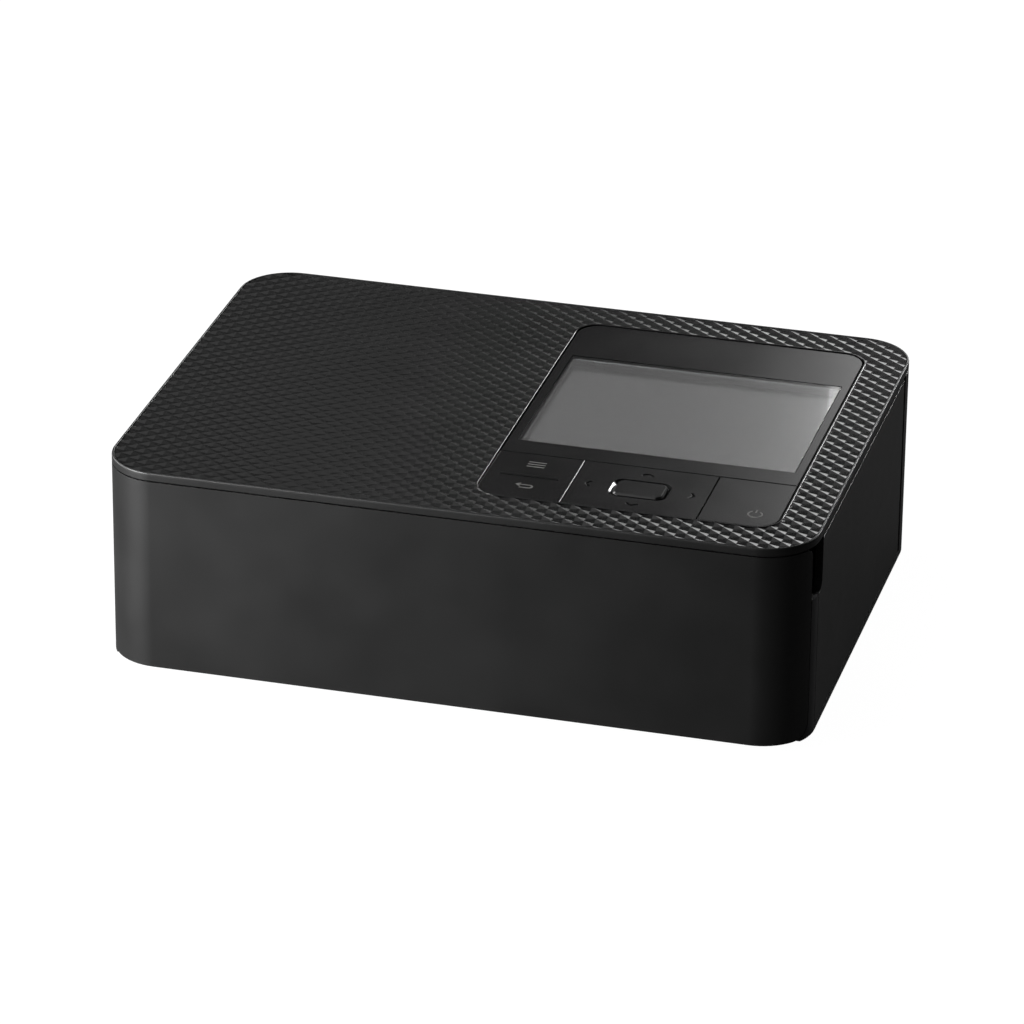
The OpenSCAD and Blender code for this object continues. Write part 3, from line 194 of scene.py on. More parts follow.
def mouldedGrain(tree, shader, grain, depth, colours, roughness, patch=18):
    # spark-eroded mould: a fine grain in the surface, slow patches in colour and gloss; sizes in mm
    place = addNode(tree, "ShaderNodeTexCoord").outputs["Object"]
    slow = addNode(tree, "ShaderNodeTexNoise", {"Vector": place, "Scale": 1 / (patch * mm), "Detail": 3.0})
    fine = addNode(tree, "ShaderNodeTexNoise", {"Vector": place, "Scale": 1 / (grain * mm), "Detail": 2.0})
    tint = addNode(tree, "ShaderNodeMix", {"Factor": slow.outputs["Fac"], "A": toLinear(colours[0]),
                                           "B": toLinear(colours[1])}, data_type="RGBA")
    gloss = addNode(tree, "ShaderNodeMapRange",
                    {"Value": slow.outputs["Fac"], "From Min": 0.3, "From Max": 0.7,
                     "To Min": roughness[0], "To Max": roughness[1]})
    bump = addNode(tree, "ShaderNodeBump", {"Height": fine.outputs["Fac"], "Strength": 1.0,
                                            "Distance": depth * mm})
    tree.links.new(tint.outputs["Result"], shader.inputs["Base Color"])
    tree.links.new(gloss.outputs["Result"], shader.inputs["Roughness"])
    tree.links.new(bump.outputs["Normal"], shader.inputs["Normal"])


def satinBlackAbs():
    # moulded ABS, spark-eroded satin: near black, broad soft highlights, grain just visible close up
    material, tree, shader = startMaterial("satinBlackAbs", "#0a0a0a", 0.46, IOR=1.46)
    mouldedGrain(tree, shader, 0.35, 0.004, ("#080808", "#0b0b0b"), (0.43, 0.49))
    return material


def facetedAbs():
    # the same ABS from polished facets in the mould: blacker, with short glints
    material, tree, shader = startMaterial("facetedAbs", "#0b0b0b", 0.3, IOR=1.46)
    mouldedGrain(tree, shader, 0.35, 0.002, ("#0a0a0a", "#0e0e0e"), (0.2, 0.24))
    return material


def mattBlackAbs():
    # inner mouldings of the same ABS from an unpolished tool: flat dark grey
    material, tree, shader = startMaterial("mattBlackAbs", "#1b1b1d", 0.55, IOR=1.46)
    mouldedGrain(tree, shader, 0.5, 0.012, ("#19191b", "#1f1f21"), (0.5, 0.62))
    return material


def lacqueredPanel():
    # polycarbonate panel under satin lacquer: smooth, a wide blurred sheen
    material, tree, shader = startMaterial("lacqueredPanel", "#0f0f0f", 0.2, IOR=1.5)
    mouldedGrain(tree, shader, 0.25, 0.0006, ("#0e0e0e", "#111111"), (0.18, 0.22))
    return material


def polishedKey():
    # hard-coated acrylic key: black with crisp reflections
    material, tree, shader = startMaterial("polishedKey", "#0c0c0d", 0.07, IOR=1.49, Coat_Weight=0.4,
                                           Coat_Roughness=0.03)
    mouldedGrain(tree, shader, 4, 0.002, ("#0b0b0c", "#0e0e0f"), (0.06, 0.09), patch=6)
    return material


def smokedAcrylic():
    # cast acrylic window: clear grey tint under a satin hard coat that blurs what it mirrors, faint waves
    material, tree, shader = startMaterial("smokedAcrylic", "#d2d2d2", 0.03, IOR=1.49,
                                           Transmission_Weight=1.0, Specular_IOR_Level=0.0,
                                           Coat_Weight=1.0, Coat_Roughness=0.2, Coat_IOR=1.49)
    place = addNode(tree, "ShaderNodeTexCoord").outputs["Object"]
    waves = addNode(tree, "ShaderNodeTexNoise", {"Vector": place, "Scale": 1 / (22 * mm), "Detail": 1.0})
    bump = addNode(tree, "ShaderNodeBump", {"Height": waves.outputs["Fac"], "Strength": 0.3,
                                            "Distance": 0.006 * mm})
    tree.links.new(bump.outputs["Normal"], shader.inputs["Normal"])
    return material


def displayPolariser():
    # polariser film over an unlit display: dark grey under a satin sheen, fine pixel weave
    material, tree, shader = startMaterial("displayPolariser", "#1c1c1b", 0.1, IOR=2.4)
    place = addNode(tree, "ShaderNodeTexCoord").outputs["Object"]
    pixels = addNode(tree, "ShaderNodeTexBrick",
                     {"Vector": place, "Scale": 1 / mm, "Color1": toLinear("#1d1d1c"),
                      "Color2": toLinear("#1b1b1a"), "Mortar": toLinear("#151514"), "Mortar Size": 0.02,
                      "Brick Width": 0.24, "Row Height": 0.24}, offset=0.0)
    tree.links.new(pixels.outputs["Color"], shader.inputs["Base Color"])
    return material


def solderMask():
    # epoxy board under green solder mask, copper traces showing as raised lighter lines
    material, tree, shader = startMaterial("solderMask", "#1c5a38", 0.3, IOR=1.5)
    place = addNode(tree, "ShaderNodeTexCoord").outputs["Object"]
    cells = addNode(tree, "ShaderNodeTexVoronoi", {"Vector": place, "Scale": 1 / (3.2 * mm)},
                    feature="DISTANCE_TO_EDGE", distance="MANHATTAN")
    traces = addNode(tree, "ShaderNodeMapRange", {"Value": cells.outputs["Distance"], "From Min": 0.06,
                                                  "From Max": 0.09, "To Min": 1.0, "To Max": 0.0})
    tint = addNode(tree, "ShaderNodeMix", {"Factor": traces.outputs["Result"], "A": toLinear("#174c30"),
                                           "B": toLinear("#2a7a4b")}, data_type="RGBA")
    bump = addNode(tree, "ShaderNodeBump", {"Height": traces.outputs["Result"], "Strength": 0.6,
                                            "Distance": 0.035 * mm})
    tree.links.new(tint.outputs["Result"], shader.inputs["Base Color"])
    tree.links.new(bump.outputs["Normal"], shader.inputs["Normal"])
    return material


def brushedMetal(tree, shader, line, along, roughness):
    # fine parallel lines from drawing, grinding or turning; line is their spacing in mm
    place = addNode(tree, "ShaderNodeTexCoord").outputs["Object"]
    stretch = [0.04 if axis == along else 1 for axis in "XYZ"]
    drawn = addNode(tree, "ShaderNodeMapping", {"Vector": place, "Scale": stretch})
    lines = addNode(tree, "ShaderNodeTexNoise", {"Vector": drawn.outputs["Vector"], "Scale": 1 / (line * mm),
                                                 "Detail": 2.0})
    gloss = addNode(tree, "ShaderNodeMapRange",
                    {"Value": lines.outputs["Fac"], "From Min": 0.3, "From Max": 0.7,
                     "To Min": roughness[0], "To Max": roughness[1]})
    bump = addNode(tree, "ShaderNodeBump", {"Height": lines.outputs["Fac"], "Strength": 0.5,
                                            "Distance": 0.004 * mm})
    tree.links.new(gloss.outputs["Result"], shader.inputs["Roughness"])
    tree.links.new(bump.outputs["Normal"], shader.inputs["Normal"])


def groundSteel():
    # ground and nickel-plated steel shafts: bright, with fine lines
    material, tree, shader = startMaterial("groundSteel", "#c6c8ca", 0.25, Metallic=1.0)
    brushedMetal(tree, shader, 0.4, "X", (0.18, 0.3))
    return material


def galvanisedSheet():
    # electro-galvanised sheet: mid grey, crystals a few mm across in slightly different greys
    material, tree, shader = startMaterial("galvanisedSheet", "#a9acae", 0.4, Metallic=1.0)
    place = addNode(tree, "ShaderNodeTexCoord").outputs["Object"]
    crystals = addNode(tree, "ShaderNodeTexVoronoi", {"Vector": place, "Scale": 1 / (4 * mm)})
    grey = addNode(tree, "ShaderNodeSeparateColor", {"Color": crystals.outputs["Color"]})
    tint = addNode(tree, "ShaderNodeMix", {"Factor": grey.outputs[0], "A": toLinear("#9fa2a4"),
                                           "B": toLinear("#b3b6b8")}, data_type="RGBA")
    gloss = addNode(tree, "ShaderNodeMapRange", {"Value": grey.outputs[1], "To Min": 0.32, "To Max": 0.48})
    tree.links.new(tint.outputs["Result"], shader.inputs["Base Color"])
    tree.links.new(gloss.outputs["Result"], shader.inputs["Roughness"])
    return material


def extrudedAluminium():
    # heat sink as extruded: pale, soft die lines along its length
    material, tree, shader = startMaterial("extrudedAluminium", "#c9cacc", 0.35, Metallic=1.0)
    brushedMetal(tree, shader, 0.5, "X", (0.28, 0.42))
    return material


def glazedAlumina():
    # thermal head: white alumina under a thin glaze
    material, tree, shader = startMaterial("glazedAlumina", "#e6e0d0", 0.16, IOR=1.6)
    mouldedGrain(tree, shader, 0.6, 0.002, ("#e4decd", "#e9e4d6"), (0.12, 0.2), patch=8)
    return material


def nitrileRubber():
    # ground rubber: dead black with a fine grit
    material, tree, shader = startMaterial("nitrileRubber", "#161616", 0.8, IOR=1.5)
    mouldedGrain(tree, shader, 0.3, 0.02, ("#141414", "#1a1a1a"), (0.72, 0.86), patch=5)
    return material


def naturalAcetal():
    # natural acetal gears: milky ivory, waxy sheen
    material, tree, shader = startMaterial("naturalAcetal", "#e2dccb", 0.33, IOR=1.48,
                                           Subsurface_Weight=0.15, Subsurface_Scale=0.5 * mm)
    mouldedGrain(tree, shader, 0.8, 0.003, ("#dfd9c7", "#e6e1d2"), (0.28, 0.38), patch=6)
    return material


def turnedBrass():
    # hobbed brass pinions: yellow metal with turning lines
    material, tree, shader = startMaterial("turnedBrass", "#d2ab5c", 0.26, Metallic=1.0)
    brushedMetal(tree, shader, 0.3, "X", (0.2, 0.32))
    return material


def printedGrey():
    # pad-printed ink: mid grey, quite matt
    material, tree, shader = startMaterial("printedGrey", "#5f5f5d", 0.6, IOR=1.5)
    mouldedGrain(tree, shader, 0.15, 0.002, ("#5b5b59", "#636361"), (0.55, 0.65), patch=2)
    return material


def paintedBlack():
    # dead matt black, painted into the engraved marks and the printed frames, and also used as painted shade
    # in the gaps and in the middle button's recess
    material, tree, shader = startMaterial("paintedBlack", "#050505", 0.7, IOR=1.45, Specular_IOR_Level=0.12)
    mouldedGrain(tree, shader, 0.2, 0.002, ("#040404", "#070707"), (0.65, 0.75), patch=2)
    return material


finishes = {
    "case_plastic": satinBlackAbs(), "inner_plastic": mattBlackAbs(), "panel_plastic": lacqueredPanel(),
    "button_gloss": polishedKey(), "display_glass": smokedAcrylic(), "display_module": displayPolariser(),
    "circuit_board": solderMask(), "bright_steel": groundSteel(), "sheet_steel": galvanisedSheet(),
    "aluminium": extrudedAluminium(), "ceramic_plate": glazedAlumina(), "rubber": nitrileRubber(),
    "gear_plastic": naturalAcetal(), "brass": turnedBrass(),
}
facets, ink, blackPaintAndShade = facetedAbs(), printedGrey(), paintedBlack()
slotOf = {row["node"]: row["material_slot"] for row in frame["record"]["subparts"]}
for name, node in nodes.items():
    node.data.materials.clear()
    node.data.materials.append(finishes[slotOf[name]])
print("materials ready:", len(finishes))


def makePiece(name, bm, body, slotName, material=None, smooth=None):
    # the mesh becomes a piece at the origin; smooth is the angle in degrees under which edges shade soft
    mesh = bpy.data.meshes.new(name)
    if smooth:
        for face in bm.faces:
            face.smooth = True
        for edge in bm.edges:
            edge.smooth = edge.is_manifold and edge.calc_face_angle(pi) < radians(smooth)
        outer = bm.edges.layers.float.new("bevel_weight_edge")  # corners that stick out may be broken
        for edge in bm.edges:
            edge[outer] = 1.0 if edge.is_convex and not edge.smooth else 0.0
    bm.to_mesh(mesh)
    bm.free()
    mesh.materials.append(material or finishes[slotName])
    piece = bpy.data.objects.new(name, mesh)
    bpy.context.scene.collection.objects.link(piece)
    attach(piece, body)
    return piece


tolerance = {"join": 0.002, "seam": 0.001, "cut": 0.0001, "outline": 0.05, "flat": 0.5}  # mm, degrees


def copyOf(node):
    # a CAD node's mesh, its loose triangles joined and its flat faces made whole
    bm = bmesh.new()
    bm.from_mesh(nodes[node].data)
    bmesh.ops.remove_doubles(bm, verts=bm.verts, dist=tolerance["join"] * mm)
    bmesh.ops.dissolve_limit(bm, angle_limit=radians(tolerance["flat"]), verts=bm.verts, edges=bm.edges)
    return bm


def evenShading(piece):
    # large faces keep their flat shade, and the broken edges take the change
    even = piece.modifiers.new("evenShading", "WEIGHTED_NORMAL")
    even.keep_sharp = True


def thicken(piece, thickness, offset):
    solid = piece.modifiers.new("thickness", "SOLIDIFY")
    solid.thickness, solid.offset = thickness * mm, offset


def softenEdges(piece, width, segments=2):
    if width:
        bevel = piece.modifiers.new("edges", "BEVEL")
        bevel.width, bevel.segments, bevel.limit_method = width * mm, segments, "WEIGHT"
        bevel.miter_outer = "MITER_ARC"
    evenShading(piece)


def dressNode(node, name, body, edge, angle=32):
    # stands for a CAD node with the same form and softly broken edges
    piece = makePiece(name, copyOf(node), body, slotOf[node], smooth=angle)
    softenEdges(piece, edge)
    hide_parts(node)
    return piece


top = {  # mm
    "acrossPits": 2.59, "alongPits": 2.10,  # half the distance between neighbouring pits
    "ridgeDrop": 0.08, "pitDrop": 0.42,  # below the rim's top
    "cutDrop": 1.0,  # where the textured plate sits in the cover
    "plateInset": 0.75, "rimInset": 0.6, "panelGap": 0.3,
    "cornerRadius": 13.8, "cornerSteps": 10,
    "rimProfile": ((0, 0.42), (0.06, 0.2), (0.2, 0.06), (0.42, 0), (0.5, 0)),  # inward, down
    "rimInnerDrop": 0.1,
}
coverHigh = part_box("top_cover")[1]
panel = {"cornerRadius": 6, "cornerSteps": 5, "tray": 1.5, "cutReach": 3, "edgeReach": 2}  # mm
panelLow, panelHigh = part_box("menu_key")[0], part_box("panel_frame")[1]
panelHigh.x, panelHigh.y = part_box("power_button")[1].x, panelHigh.y - panel["tray"] * mm
halfWidth, halfDepth, topZ = coverHigh.x, coverHigh.y, coverHigh.z


def arcPlanes(halfX, halfY, radius, steps, centre=(0, 0)):
    # points and outward directions of the planes that bound a rounded rectangle
    planes = []
    for quarter in range(4):
        signX, signY = ((1, 1), (-1, 1), (-1, -1), (1, -1))[quarter]
        corner = Vector((centre[0] + signX * (halfX - radius), centre[1] + signY * (halfY - radius), 0))
        for step in range(steps + 1):
            angle = pi / 2 * (quarter + step / steps)
            away = Vector((cos(angle), sin(angle), 0))
            planes.append((corner + away * radius, away))
    return planes


def texturedSheet():
    # sheet of pointed pits between straight ridges
    stepX, stepY = top["acrossPits"] * mm, top["alongPits"] * mm
    columns, rows = 2 * ceil(halfWidth / stepX) + 2, 2 * ceil(halfDepth / stepY) + 2
    bm = bmesh.new()
    bmesh.ops.create_grid(bm, x_segments=columns, y_segments=rows, size=0.5)
    bmesh.ops.scale(bm, verts=bm.verts, vec=(columns * stepX, rows * stepY, 1))
    ridge = set()
    for vert in bm.verts:
        isPit = (round(vert.co.x / stepX) + round(vert.co.y / stepY)) % 2 == 0
        vert.co.z = topZ - (top["pitDrop"] if isPit else top["ridgeDrop"]) * mm
        if not isPit:
            ridge.add(vert)
    for face in list(bm.faces):
        bmesh.utils.face_split(face, *[v for v in face.verts if v in ridge])
    return bm


def cutPanelHole(bm):
    # takes the control panel's place out of the sheet
    gap, reach = top["panelGap"] * mm, panel["cutReach"] * mm
    centre = (panelLow + panelHigh) / 2
    half = (panelHigh - panelLow) / 2 + Vector((gap, gap, 0))
    planes = arcPlanes(half.x, half.y, panel["cornerRadius"] * mm + gap, panel["cornerSteps"], centre)
    for point, away in planes:
        near = [f for f in bm.faces if abs(f.calc_center_median().x - centre.x) < half.x + reach
                and abs(f.calc_center_median().y - centre.y) < half.y + reach]
        near = near + list({e for f in near for e in f.edges}) + list({v for f in near for v in f.verts})
        bmesh.ops.bisect_plane(bm, geom=near, dist=tolerance["cut"] * mm, plane_co=point, plane_no=away)
    inside = [f for f in bm.faces
              if all((f.calc_center_median() - point).dot(away) < 0 for point, away in
                     [(Vector((p.x, p.y, f.calc_center_median().z)), a) for p, a in planes])]
    bmesh.ops.delete(bm, geom=inside, context="FACES")


def texturedTop():
    # the sheet trimmed to the cover's outline, with a skirt and a closed underside
    bm = texturedSheet()
    inset = top["plateInset"] * mm
    for point, away in arcPlanes(halfWidth - inset, halfDepth - inset, top["cornerRadius"] * mm - inset,
                                 top["cornerSteps"]):
        geom = bm.verts[:] + bm.edges[:] + bm.faces[:]
        bmesh.ops.bisect_plane(bm, geom=geom, dist=tolerance["cut"] * mm, plane_co=point, plane_no=away,
                               clear_outer=True)
    cutPanelHole(bm)
    bmesh.ops.remove_doubles(bm, verts=bm.verts, dist=tolerance["seam"] * mm)
    border = [e for e in bm.edges if e.is_boundary]
    skirt = bmesh.ops.extrude_edge_only(bm, edges=border)["geom"]
    for vert in [g for g in skirt if isinstance(g, bmesh.types.BMVert)]:
        vert.co.z = topZ - top["cutDrop"] * mm
    foot = [e for e in bm.edges if e.is_boundary]
    bmesh.ops.triangle_fill(bm, edges=foot, use_dissolve=False, use_beauty=True, normal=(0, 0, -1))
    bmesh.ops.recalc_face_normals(bm, faces=bm.faces)
    makePiece("texturedPlate", bm, "housing", "case_plastic", facets)


def stepIn(vert, amount):
    # moves a point of the outline towards the middle, square to the outline
    core = Vector((halfWidth, halfDepth, 0)) - Vector((1, 1, 0)) * top["cornerRadius"] * mm
    near = Vector((max(-core.x, min(core.x, vert.co.x)), max(-core.y, min(core.y, vert.co.y)), vert.co.z))
    vert.co -= (vert.co - near).normalized() * amount


def outlineGap(vert):
    # distance of a point from the rounded outline
    radius = top["cornerRadius"] * mm
    past = Vector((abs(vert.co.x) - halfWidth + radius, abs(vert.co.y) - halfDepth + radius))
    return abs(Vector((max(past.x, 0), max(past.y, 0))).length - radius)


def coverRim():
    # the cover below the plate, with a rounded rim drawn up from its outline
    cut = topZ - top["cutDrop"] * mm
    bm = copyOf("top_cover")
    geom = bm.verts[:] + bm.edges[:] + bm.faces[:]
    bmesh.ops.bisect_plane(bm, geom=geom, dist=tolerance["cut"] * mm, plane_co=(0, 0, cut),
                           plane_no=(0, 0, 1), clear_outer=True)
    rimEdges = [e for e in bm.edges if e.is_boundary
                and all(outlineGap(v) < tolerance["outline"] * mm for v in e.verts)]
    others = [e for e in bm.edges if e.is_boundary and e not in set(rimEdges)]
    reach = (panelHigh - panelLow) / 2 + Vector((1, 1, 0)) * panel["edgeReach"] * mm
    middle = (panelLow + panelHigh) / 2
    inner = [e for e in others if abs(e.verts[0].co.x - middle.x) < reach.x
             and abs(e.verts[0].co.y - middle.y) < reach.y]
    bmesh.ops.holes_fill(bm, edges=[e for e in others if e not in set(inner)], sides=0)
    profile = top["rimProfile"] + ((top["rimInset"], top["rimInnerDrop"]), (top["rimInset"], top["cutDrop"]))
    loop, before = rimEdges, 0
    for inward, drop in profile:
        made = bmesh.ops.extrude_edge_only(bm, edges=loop)["geom"]
        for vert in [g for g in made if isinstance(g, bmesh.types.BMVert)]:
            stepIn(vert, (inward - before) * mm)
            vert.co.z = topZ - drop * mm
        loop, before = [g for g in made if isinstance(g, bmesh.types.BMEdge)], inward
    bmesh.ops.triangle_fill(bm, edges=loop + inner, use_dissolve=False, use_beauty=True, normal=(0, 0, 1))
    bmesh.ops.recalc_face_normals(bm, faces=bm.faces)
    piece = makePiece("topCoverRim", bm, "housing", "case_plastic", smooth=30)
    evenShading(piece)
    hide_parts("top_cover")


texturedTop()
coverRim()
print("textured top built")


dressNode("front_cover", "frontCoverShell", "front_cover", 0.2)
dressNode("ribbon_door", "ribbonDoorShell", "ribbon_door", 0.08)
dressNode("left_cover", "leftCoverShell", "housing", 0.15)
dressNode("rear_cover", "rearCoverShell", "housing", 0.2)
dressNode("base_pan", "basePanShell", "housing", 0)
bezel = dressNode("panel_frame", "panelBezel", "housing", 0.12)
menuCap = dressNode("menu_key", "menuKeyCap", "menu_key", 0.12)
padCap = dressNode("four_way_pad", "fourWayPadCap", "four_way_pad", 0.12)
powerCap = dressNode("power_button", "powerButtonCap", "power_button", 0.12)
okCap = dressNode("ok_button", "okButtonCap", "ok_button", 0.06)
okCap.data.materials[0] = finishes["panel_plastic"]
glass = dressNode("display_window", "displayGlass", "housing", 0.02)
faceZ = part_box("power_button")[1].z
blackened = {  # which faces are painted black: print on the window's edge and the keys' marks, and painted shade on faces turned to the right
    "windowSide": 0.5, "shadeTurnRight": 0.2, "nearlyFlat": 0.97,  # by their normal
    "raisedLine": (0.02, 1), "arrows": (-0.25, -0.05),  # by their height over the keys' face, mm
}
glass.data.materials.append(blackPaintAndShade)
for polygon in glass.data.polygons:
    if abs(polygon.normal.z) < blackened["windowSide"]:
        polygon.material_index = 1
# painted shade: faces of the panel, the power key and the middle button that turn to the right are painted
# black, as they lie in shadow
for piece in (bezel, powerCap, okCap):
    piece.data.materials.append(blackPaintAndShade)
    if piece is not okCap:
        piece.modifiers["edges"].material = 1  # painted shade on their outer edges, which lie in the shadow gap
    for polygon in piece.data.polygons:
        if polygon.normal.x > blackened["shadeTurnRight"] and polygon.normal.z < blackened["nearlyFlat"]:
            polygon.material_index = 1


def paintFaces(piece, heights):
    # paints the faces whose middle lies between the two heights
    low, high = heights
    piece.data.materials.append(blackPaintAndShade)
    for polygon in piece.data.polygons:
        if faceZ + low * mm < polygon.center.z < faceZ + high * mm:
            polygon.material_index = 1


paintFaces(menuCap, blackened["raisedLine"])
paintFaces(padCap, blackened["arrows"])  # all four are engraved
print("covers and keys dressed")


symbols = {  # printed marks on the keys; mm, the gap in degrees
    "inkHeight": 0.02, "inkSunk": 0.002, "join": 0.01, "lineWidth": 0.42,
    "menuPlace": (14.1, -34.2), "barLength": 4.6, "barPitch": 1.3,
    "backPlace": (14.2, -47.2), "backTurn": 0.8, "backRun": 2.7, "backShort": 0.3, "backSteps": 10,
    "headLength": 1.25, "headHalf": 1.05, "headClear": 0.8,
    "powerPlace": (73.2, -47.1), "powerRadius": 1.75, "powerGap": 34, "powerBar": 1.9, "powerSteps": 28,
}
triangle = {"length": 1.5, "half": 0.866}  # of an even triangle in a circle of radius 1


def flatSheet(bm, size, centre, tilt=0):
    # a flat rectangle, tipped about its length by some degrees
    made = bmesh.ops.create_grid(bm, x_segments=1, y_segments=1, size=0.5)["verts"]
    bmesh.ops.scale(bm, verts=made, vec=(size[0], size[1], 1))
    bmesh.ops.rotate(bm, verts=made, cent=(0, 0, 0), matrix=Matrix.Rotation(radians(tilt), 3, "X"))
    bmesh.ops.translate(bm, verts=made, vec=centre)
    return made


def flatBar(bm, length, width, place, along="X"):
    size = (length, width) if along == "X" else (width, length)
    flatSheet(bm, size, (place[0], place[1], 0))


def bentLine(bm, start, width, centre, angle, steps):
    # a line's end edge turned about a centre; start is the edge's middle, square to the radius
    away = (Vector(start) - Vector(centre)).normalized() * width / 2
    ends = [bm.verts.new((start[0] + s * away.x, start[1] + s * away.y, 0)) for s in (-1, 1)]
    edge = bm.edges.new(ends)
    bmesh.ops.spin(bm, geom=ends + [edge], cent=(centre[0], centre[1], 0), axis=(0, 0, 1),
                   angle=radians(angle), steps=steps)


def printSymbol(name, bm, place, body):
    # gives the flat shape, drawn in mm, the ink's thickness and sets it on the keys' face
    bmesh.ops.remove_doubles(bm, verts=bm.verts, dist=symbols["join"])
    bmesh.ops.recalc_face_normals(bm, faces=bm.faces)
    if bm.faces[0].normal.z < 0:
        bmesh.ops.reverse_faces(bm, faces=bm.faces)
    raised = bmesh.ops.extrude_face_region(bm, geom=bm.faces[:])["geom"]
    bmesh.ops.translate(bm, verts=[g for g in raised if isinstance(g, bmesh.types.BMVert)],
                        vec=(0, 0, symbols["inkHeight"]))
    bmesh.ops.recalc_face_normals(bm, faces=bm.faces)
    bmesh.ops.translate(bm, verts=bm.verts, vec=(place[0], place[1], 0))
    bmesh.ops.scale(bm, verts=bm.verts, vec=(mm, mm, mm))
    bmesh.ops.translate(bm, verts=bm.verts, vec=(0, 0, faceZ - symbols["inkSunk"] * mm))
    makePiece(name, bm, body, "panel_plastic", ink)


def menuSymbol():
    bm = bmesh.new()
    for row in (-1, 0, 1):
        flatBar(bm, symbols["barLength"], symbols["lineWidth"], (0, row * symbols["barPitch"]))
    printSymbol("menuSymbol", bm, symbols["menuPlace"], "menu_key")


def backSymbol():
    # a line that leaves to the right, turns back and ends in an arrowhead at the upper left
    bm = bmesh.new()
    turn, run, width = symbols["backTurn"], symbols["backRun"], symbols["lineWidth"]
    bentLine(bm, (run / 2, -turn), width, (run / 2, 0), 180, symbols["backSteps"])
    flatBar(bm, run, width, (0, turn))
    flatBar(bm, run - symbols["backShort"], width, (symbols["backShort"] / 2, -turn))
    head = bmesh.ops.create_circle(bm, cap_ends=True, segments=3, radius=1)["verts"]
    bmesh.ops.rotate(bm, verts=head, cent=(0, 0, 0), matrix=Matrix.Rotation(pi / 2, 3, "Z"))
    size = (symbols["headLength"] / triangle["length"], symbols["headHalf"] / triangle["half"], 1)
    bmesh.ops.scale(bm, verts=head, vec=size)
    tip = min(v.co.x for v in head)
    shift = -run / 2 - symbols["headLength"] * symbols["headClear"] - tip
    bmesh.ops.translate(bm, verts=head, vec=(shift, turn, 0))
    printSymbol("backSymbol", bm, symbols["backPlace"], "menu_key")


def powerSymbol():
    bm = bmesh.new()
    radius, gap = symbols["powerRadius"], radians(symbols["powerGap"])
    bentLine(bm, (-radius * sin(gap), radius * cos(gap)), symbols["lineWidth"], (0, 0),
             360 - 2 * symbols["powerGap"], symbols["powerSteps"])
    flatBar(bm, symbols["powerBar"], symbols["lineWidth"], (0, radius), along="Y")
    printSymbol("powerSymbol", bm, symbols["powerPlace"], "power_button")


menuSymbol()
backSymbol()
powerSymbol()
print("symbols printed")


def roundedFace(bm, centre, size, corner, steps):
    # a flat rounded rectangle; sizes in metres
    made = flatSheet(bm, size, centre)
    bmesh.ops.bevel(bm, geom=made, offset=corner, segments=steps, profile=0.5, affect="VERTICES",
                    material=-1)
    bm.faces.ensure_lookup_table()
    return bm.faces[0]


recess = {  # mm
    "slope": 0.62, "depth": 0.62, "thickness": 0.06, "margin": 0.9, "corner": 2.9, "edgeSteps": 6,
    "polished": 0.65,  # how far a face turns to the right, as a part of its normal, to stay polished; faces turned less get painted shade
}


def okRecess():
    # funnel round the middle button; its polished slope catches the light at the left end, and the rest of
    # it carries painted shade
    low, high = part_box("ok_button")
    margin = recess["margin"] * mm
    bm = bmesh.new()
    face = roundedFace(bm, ((low.x + high.x) / 2, (low.y + high.y) / 2, faceZ),
                       (high.x - low.x + 2 * margin, high.y - low.y + 2 * margin), recess["corner"] * mm,
                       recess["edgeSteps"])
    bmesh.ops.inset_region(bm, faces=[face], thickness=recess["slope"] * mm, depth=0, use_boundary=True)
    for vert in face.verts:
        vert.co.z -= recess["depth"] * mm
    bmesh.ops.delete(bm, geom=[face], context="FACES")
    funnel = makePiece("okRecess", bm, "four_way_pad", "panel_plastic", smooth=40)
    funnel.data.materials.append(blackPaintAndShade)
    for polygon in funnel.data.polygons:
        if polygon.normal.x < recess["polished"]:
            polygon.material_index = 1  # painted shade on all but the left end, which stays polished
    thicken(funnel, recess["thickness"], -1)
    evenShading(funnel)


lip = {"width": 0.4, "height": 0.9, "edge": 0.1, "steps": 6}  # mm


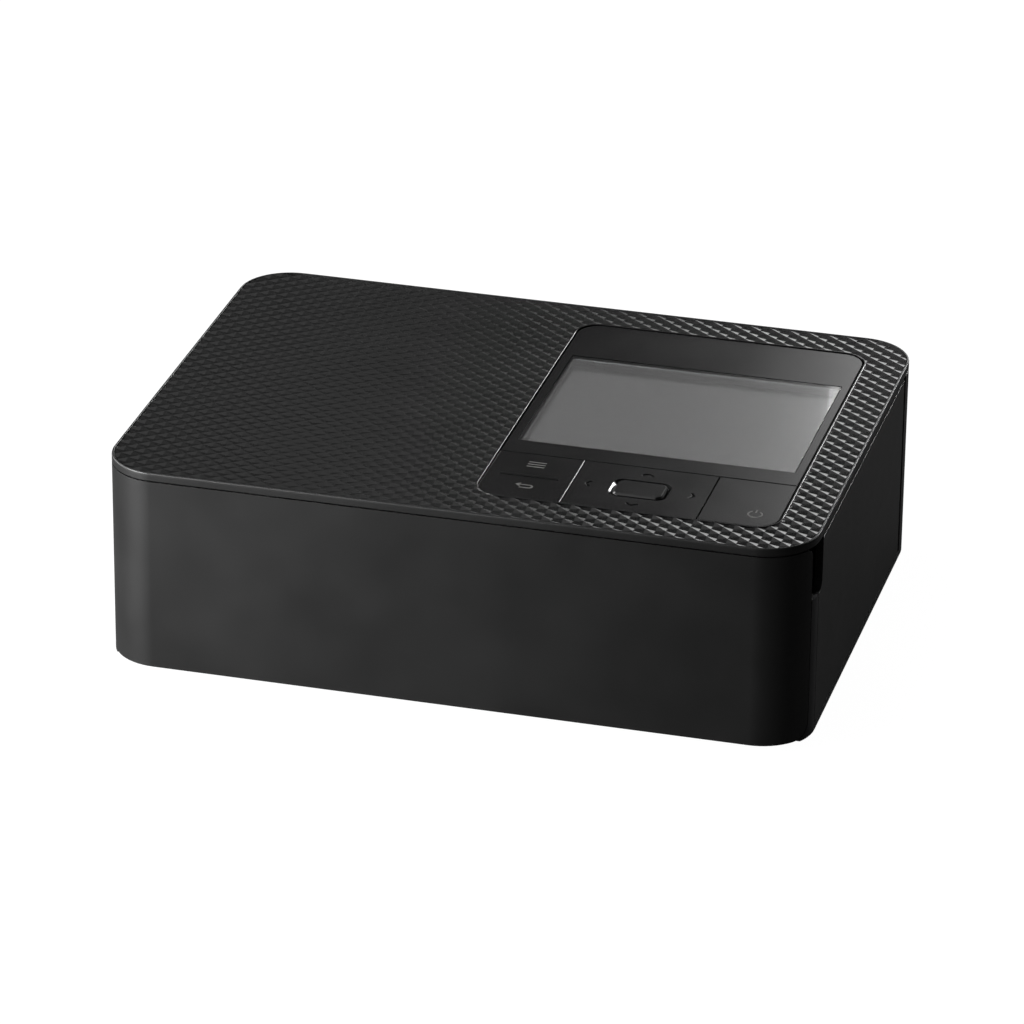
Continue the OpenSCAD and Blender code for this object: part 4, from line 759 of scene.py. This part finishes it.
def panelLip():
    # raised border round the panel, level with the rim's top
    gap, width = top["panelGap"] * mm, lip["width"] * mm
    size = panelHigh - panelLow + Vector((2, 2, 0)) * (gap + width)
    bm = bmesh.new()
    face = roundedFace(bm, ((panelLow.x + panelHigh.x) / 2, (panelLow.y + panelHigh.y) / 2, topZ), size,
                       panel["cornerRadius"] * mm + gap + width, lip["steps"])
    ring = bmesh.ops.inset_region(bm, faces=[face], thickness=width, depth=0, use_boundary=True)["faces"]
    bmesh.ops.delete(bm, geom=[face], context="FACES")
    down = bmesh.ops.extrude_face_region(bm, geom=ring)["geom"]
    bmesh.ops.translate(bm, verts=[g for g in down if isinstance(g, bmesh.types.BMVert)],
                        vec=(0, 0, -lip["height"] * mm))
    bmesh.ops.recalc_face_normals(bm, faces=bm.faces)
    border = makePiece("panelLip", bm, "housing", "case_plastic", facets, smooth=40)
    softenEdges(border, lip["edge"])


# the strip that stands in for the glint on the glass's rear edge, a painted highlight
glintStrip = {"width": 0.2, "thickness": 0.04, "rear": 0.65, "ends": 0.8, "tilt": 45}  # mm, the tilt in degrees


def windowGlintStrip():
    # painted highlight: a thin bright strip that shows through the glass along its rear edge, standing in
    # for the glint on the glass's lower rear edge
    low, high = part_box("display_window")
    bm = bmesh.new()
    flatSheet(bm, (high.x - low.x - 2 * glintStrip["ends"] * mm, glintStrip["width"] * mm),
              ((low.x + high.x) / 2, high.y - glintStrip["rear"] * mm, low.z - glintStrip["width"] / 2 * mm),
              glintStrip["tilt"])
    strip = makePiece("windowGlintStrip", bm, "housing", "bright_steel")
    thicken(strip, glintStrip["thickness"], 0)


mask = {"left": 6.1, "right": 76.9, "front": -26, "rear": 32.0, "thickness": 0.12, "inset": 0.3}  # mm


def displayMask():
    # black printed frame round the lit area of the display
    low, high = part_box("lcd_module")
    inset = mask["inset"] * mm
    bm = bmesh.new()
    flatSheet(bm, (high.x - low.x - inset, high.y - low.y - inset),
              ((low.x + high.x) / 2, (low.y + high.y) / 2, high.z + mask["thickness"] / 2 * mm))
    bm.faces.ensure_lookup_table()
    middle = bm.faces[0]
    bmesh.ops.inset_region(bm, faces=[middle], thickness=inset, depth=0, use_boundary=True)
    centre = middle.calc_center_median()
    for vert in middle.verts:
        vert.co.x = (mask["left"] if vert.co.x < centre.x else mask["right"]) * mm
        vert.co.y = (mask["front"] if vert.co.y < centre.y else mask["rear"]) * mm
    bmesh.ops.delete(bm, geom=[middle], context="FACES")
    printed = makePiece("displayMask", bm, "housing", "display_module", blackPaintAndShade)
    thicken(printed, mask["thickness"], 0)


okRecess()
panelLip()
windowGlintStrip()
displayMask()
print("recess, border, foil and mask built")
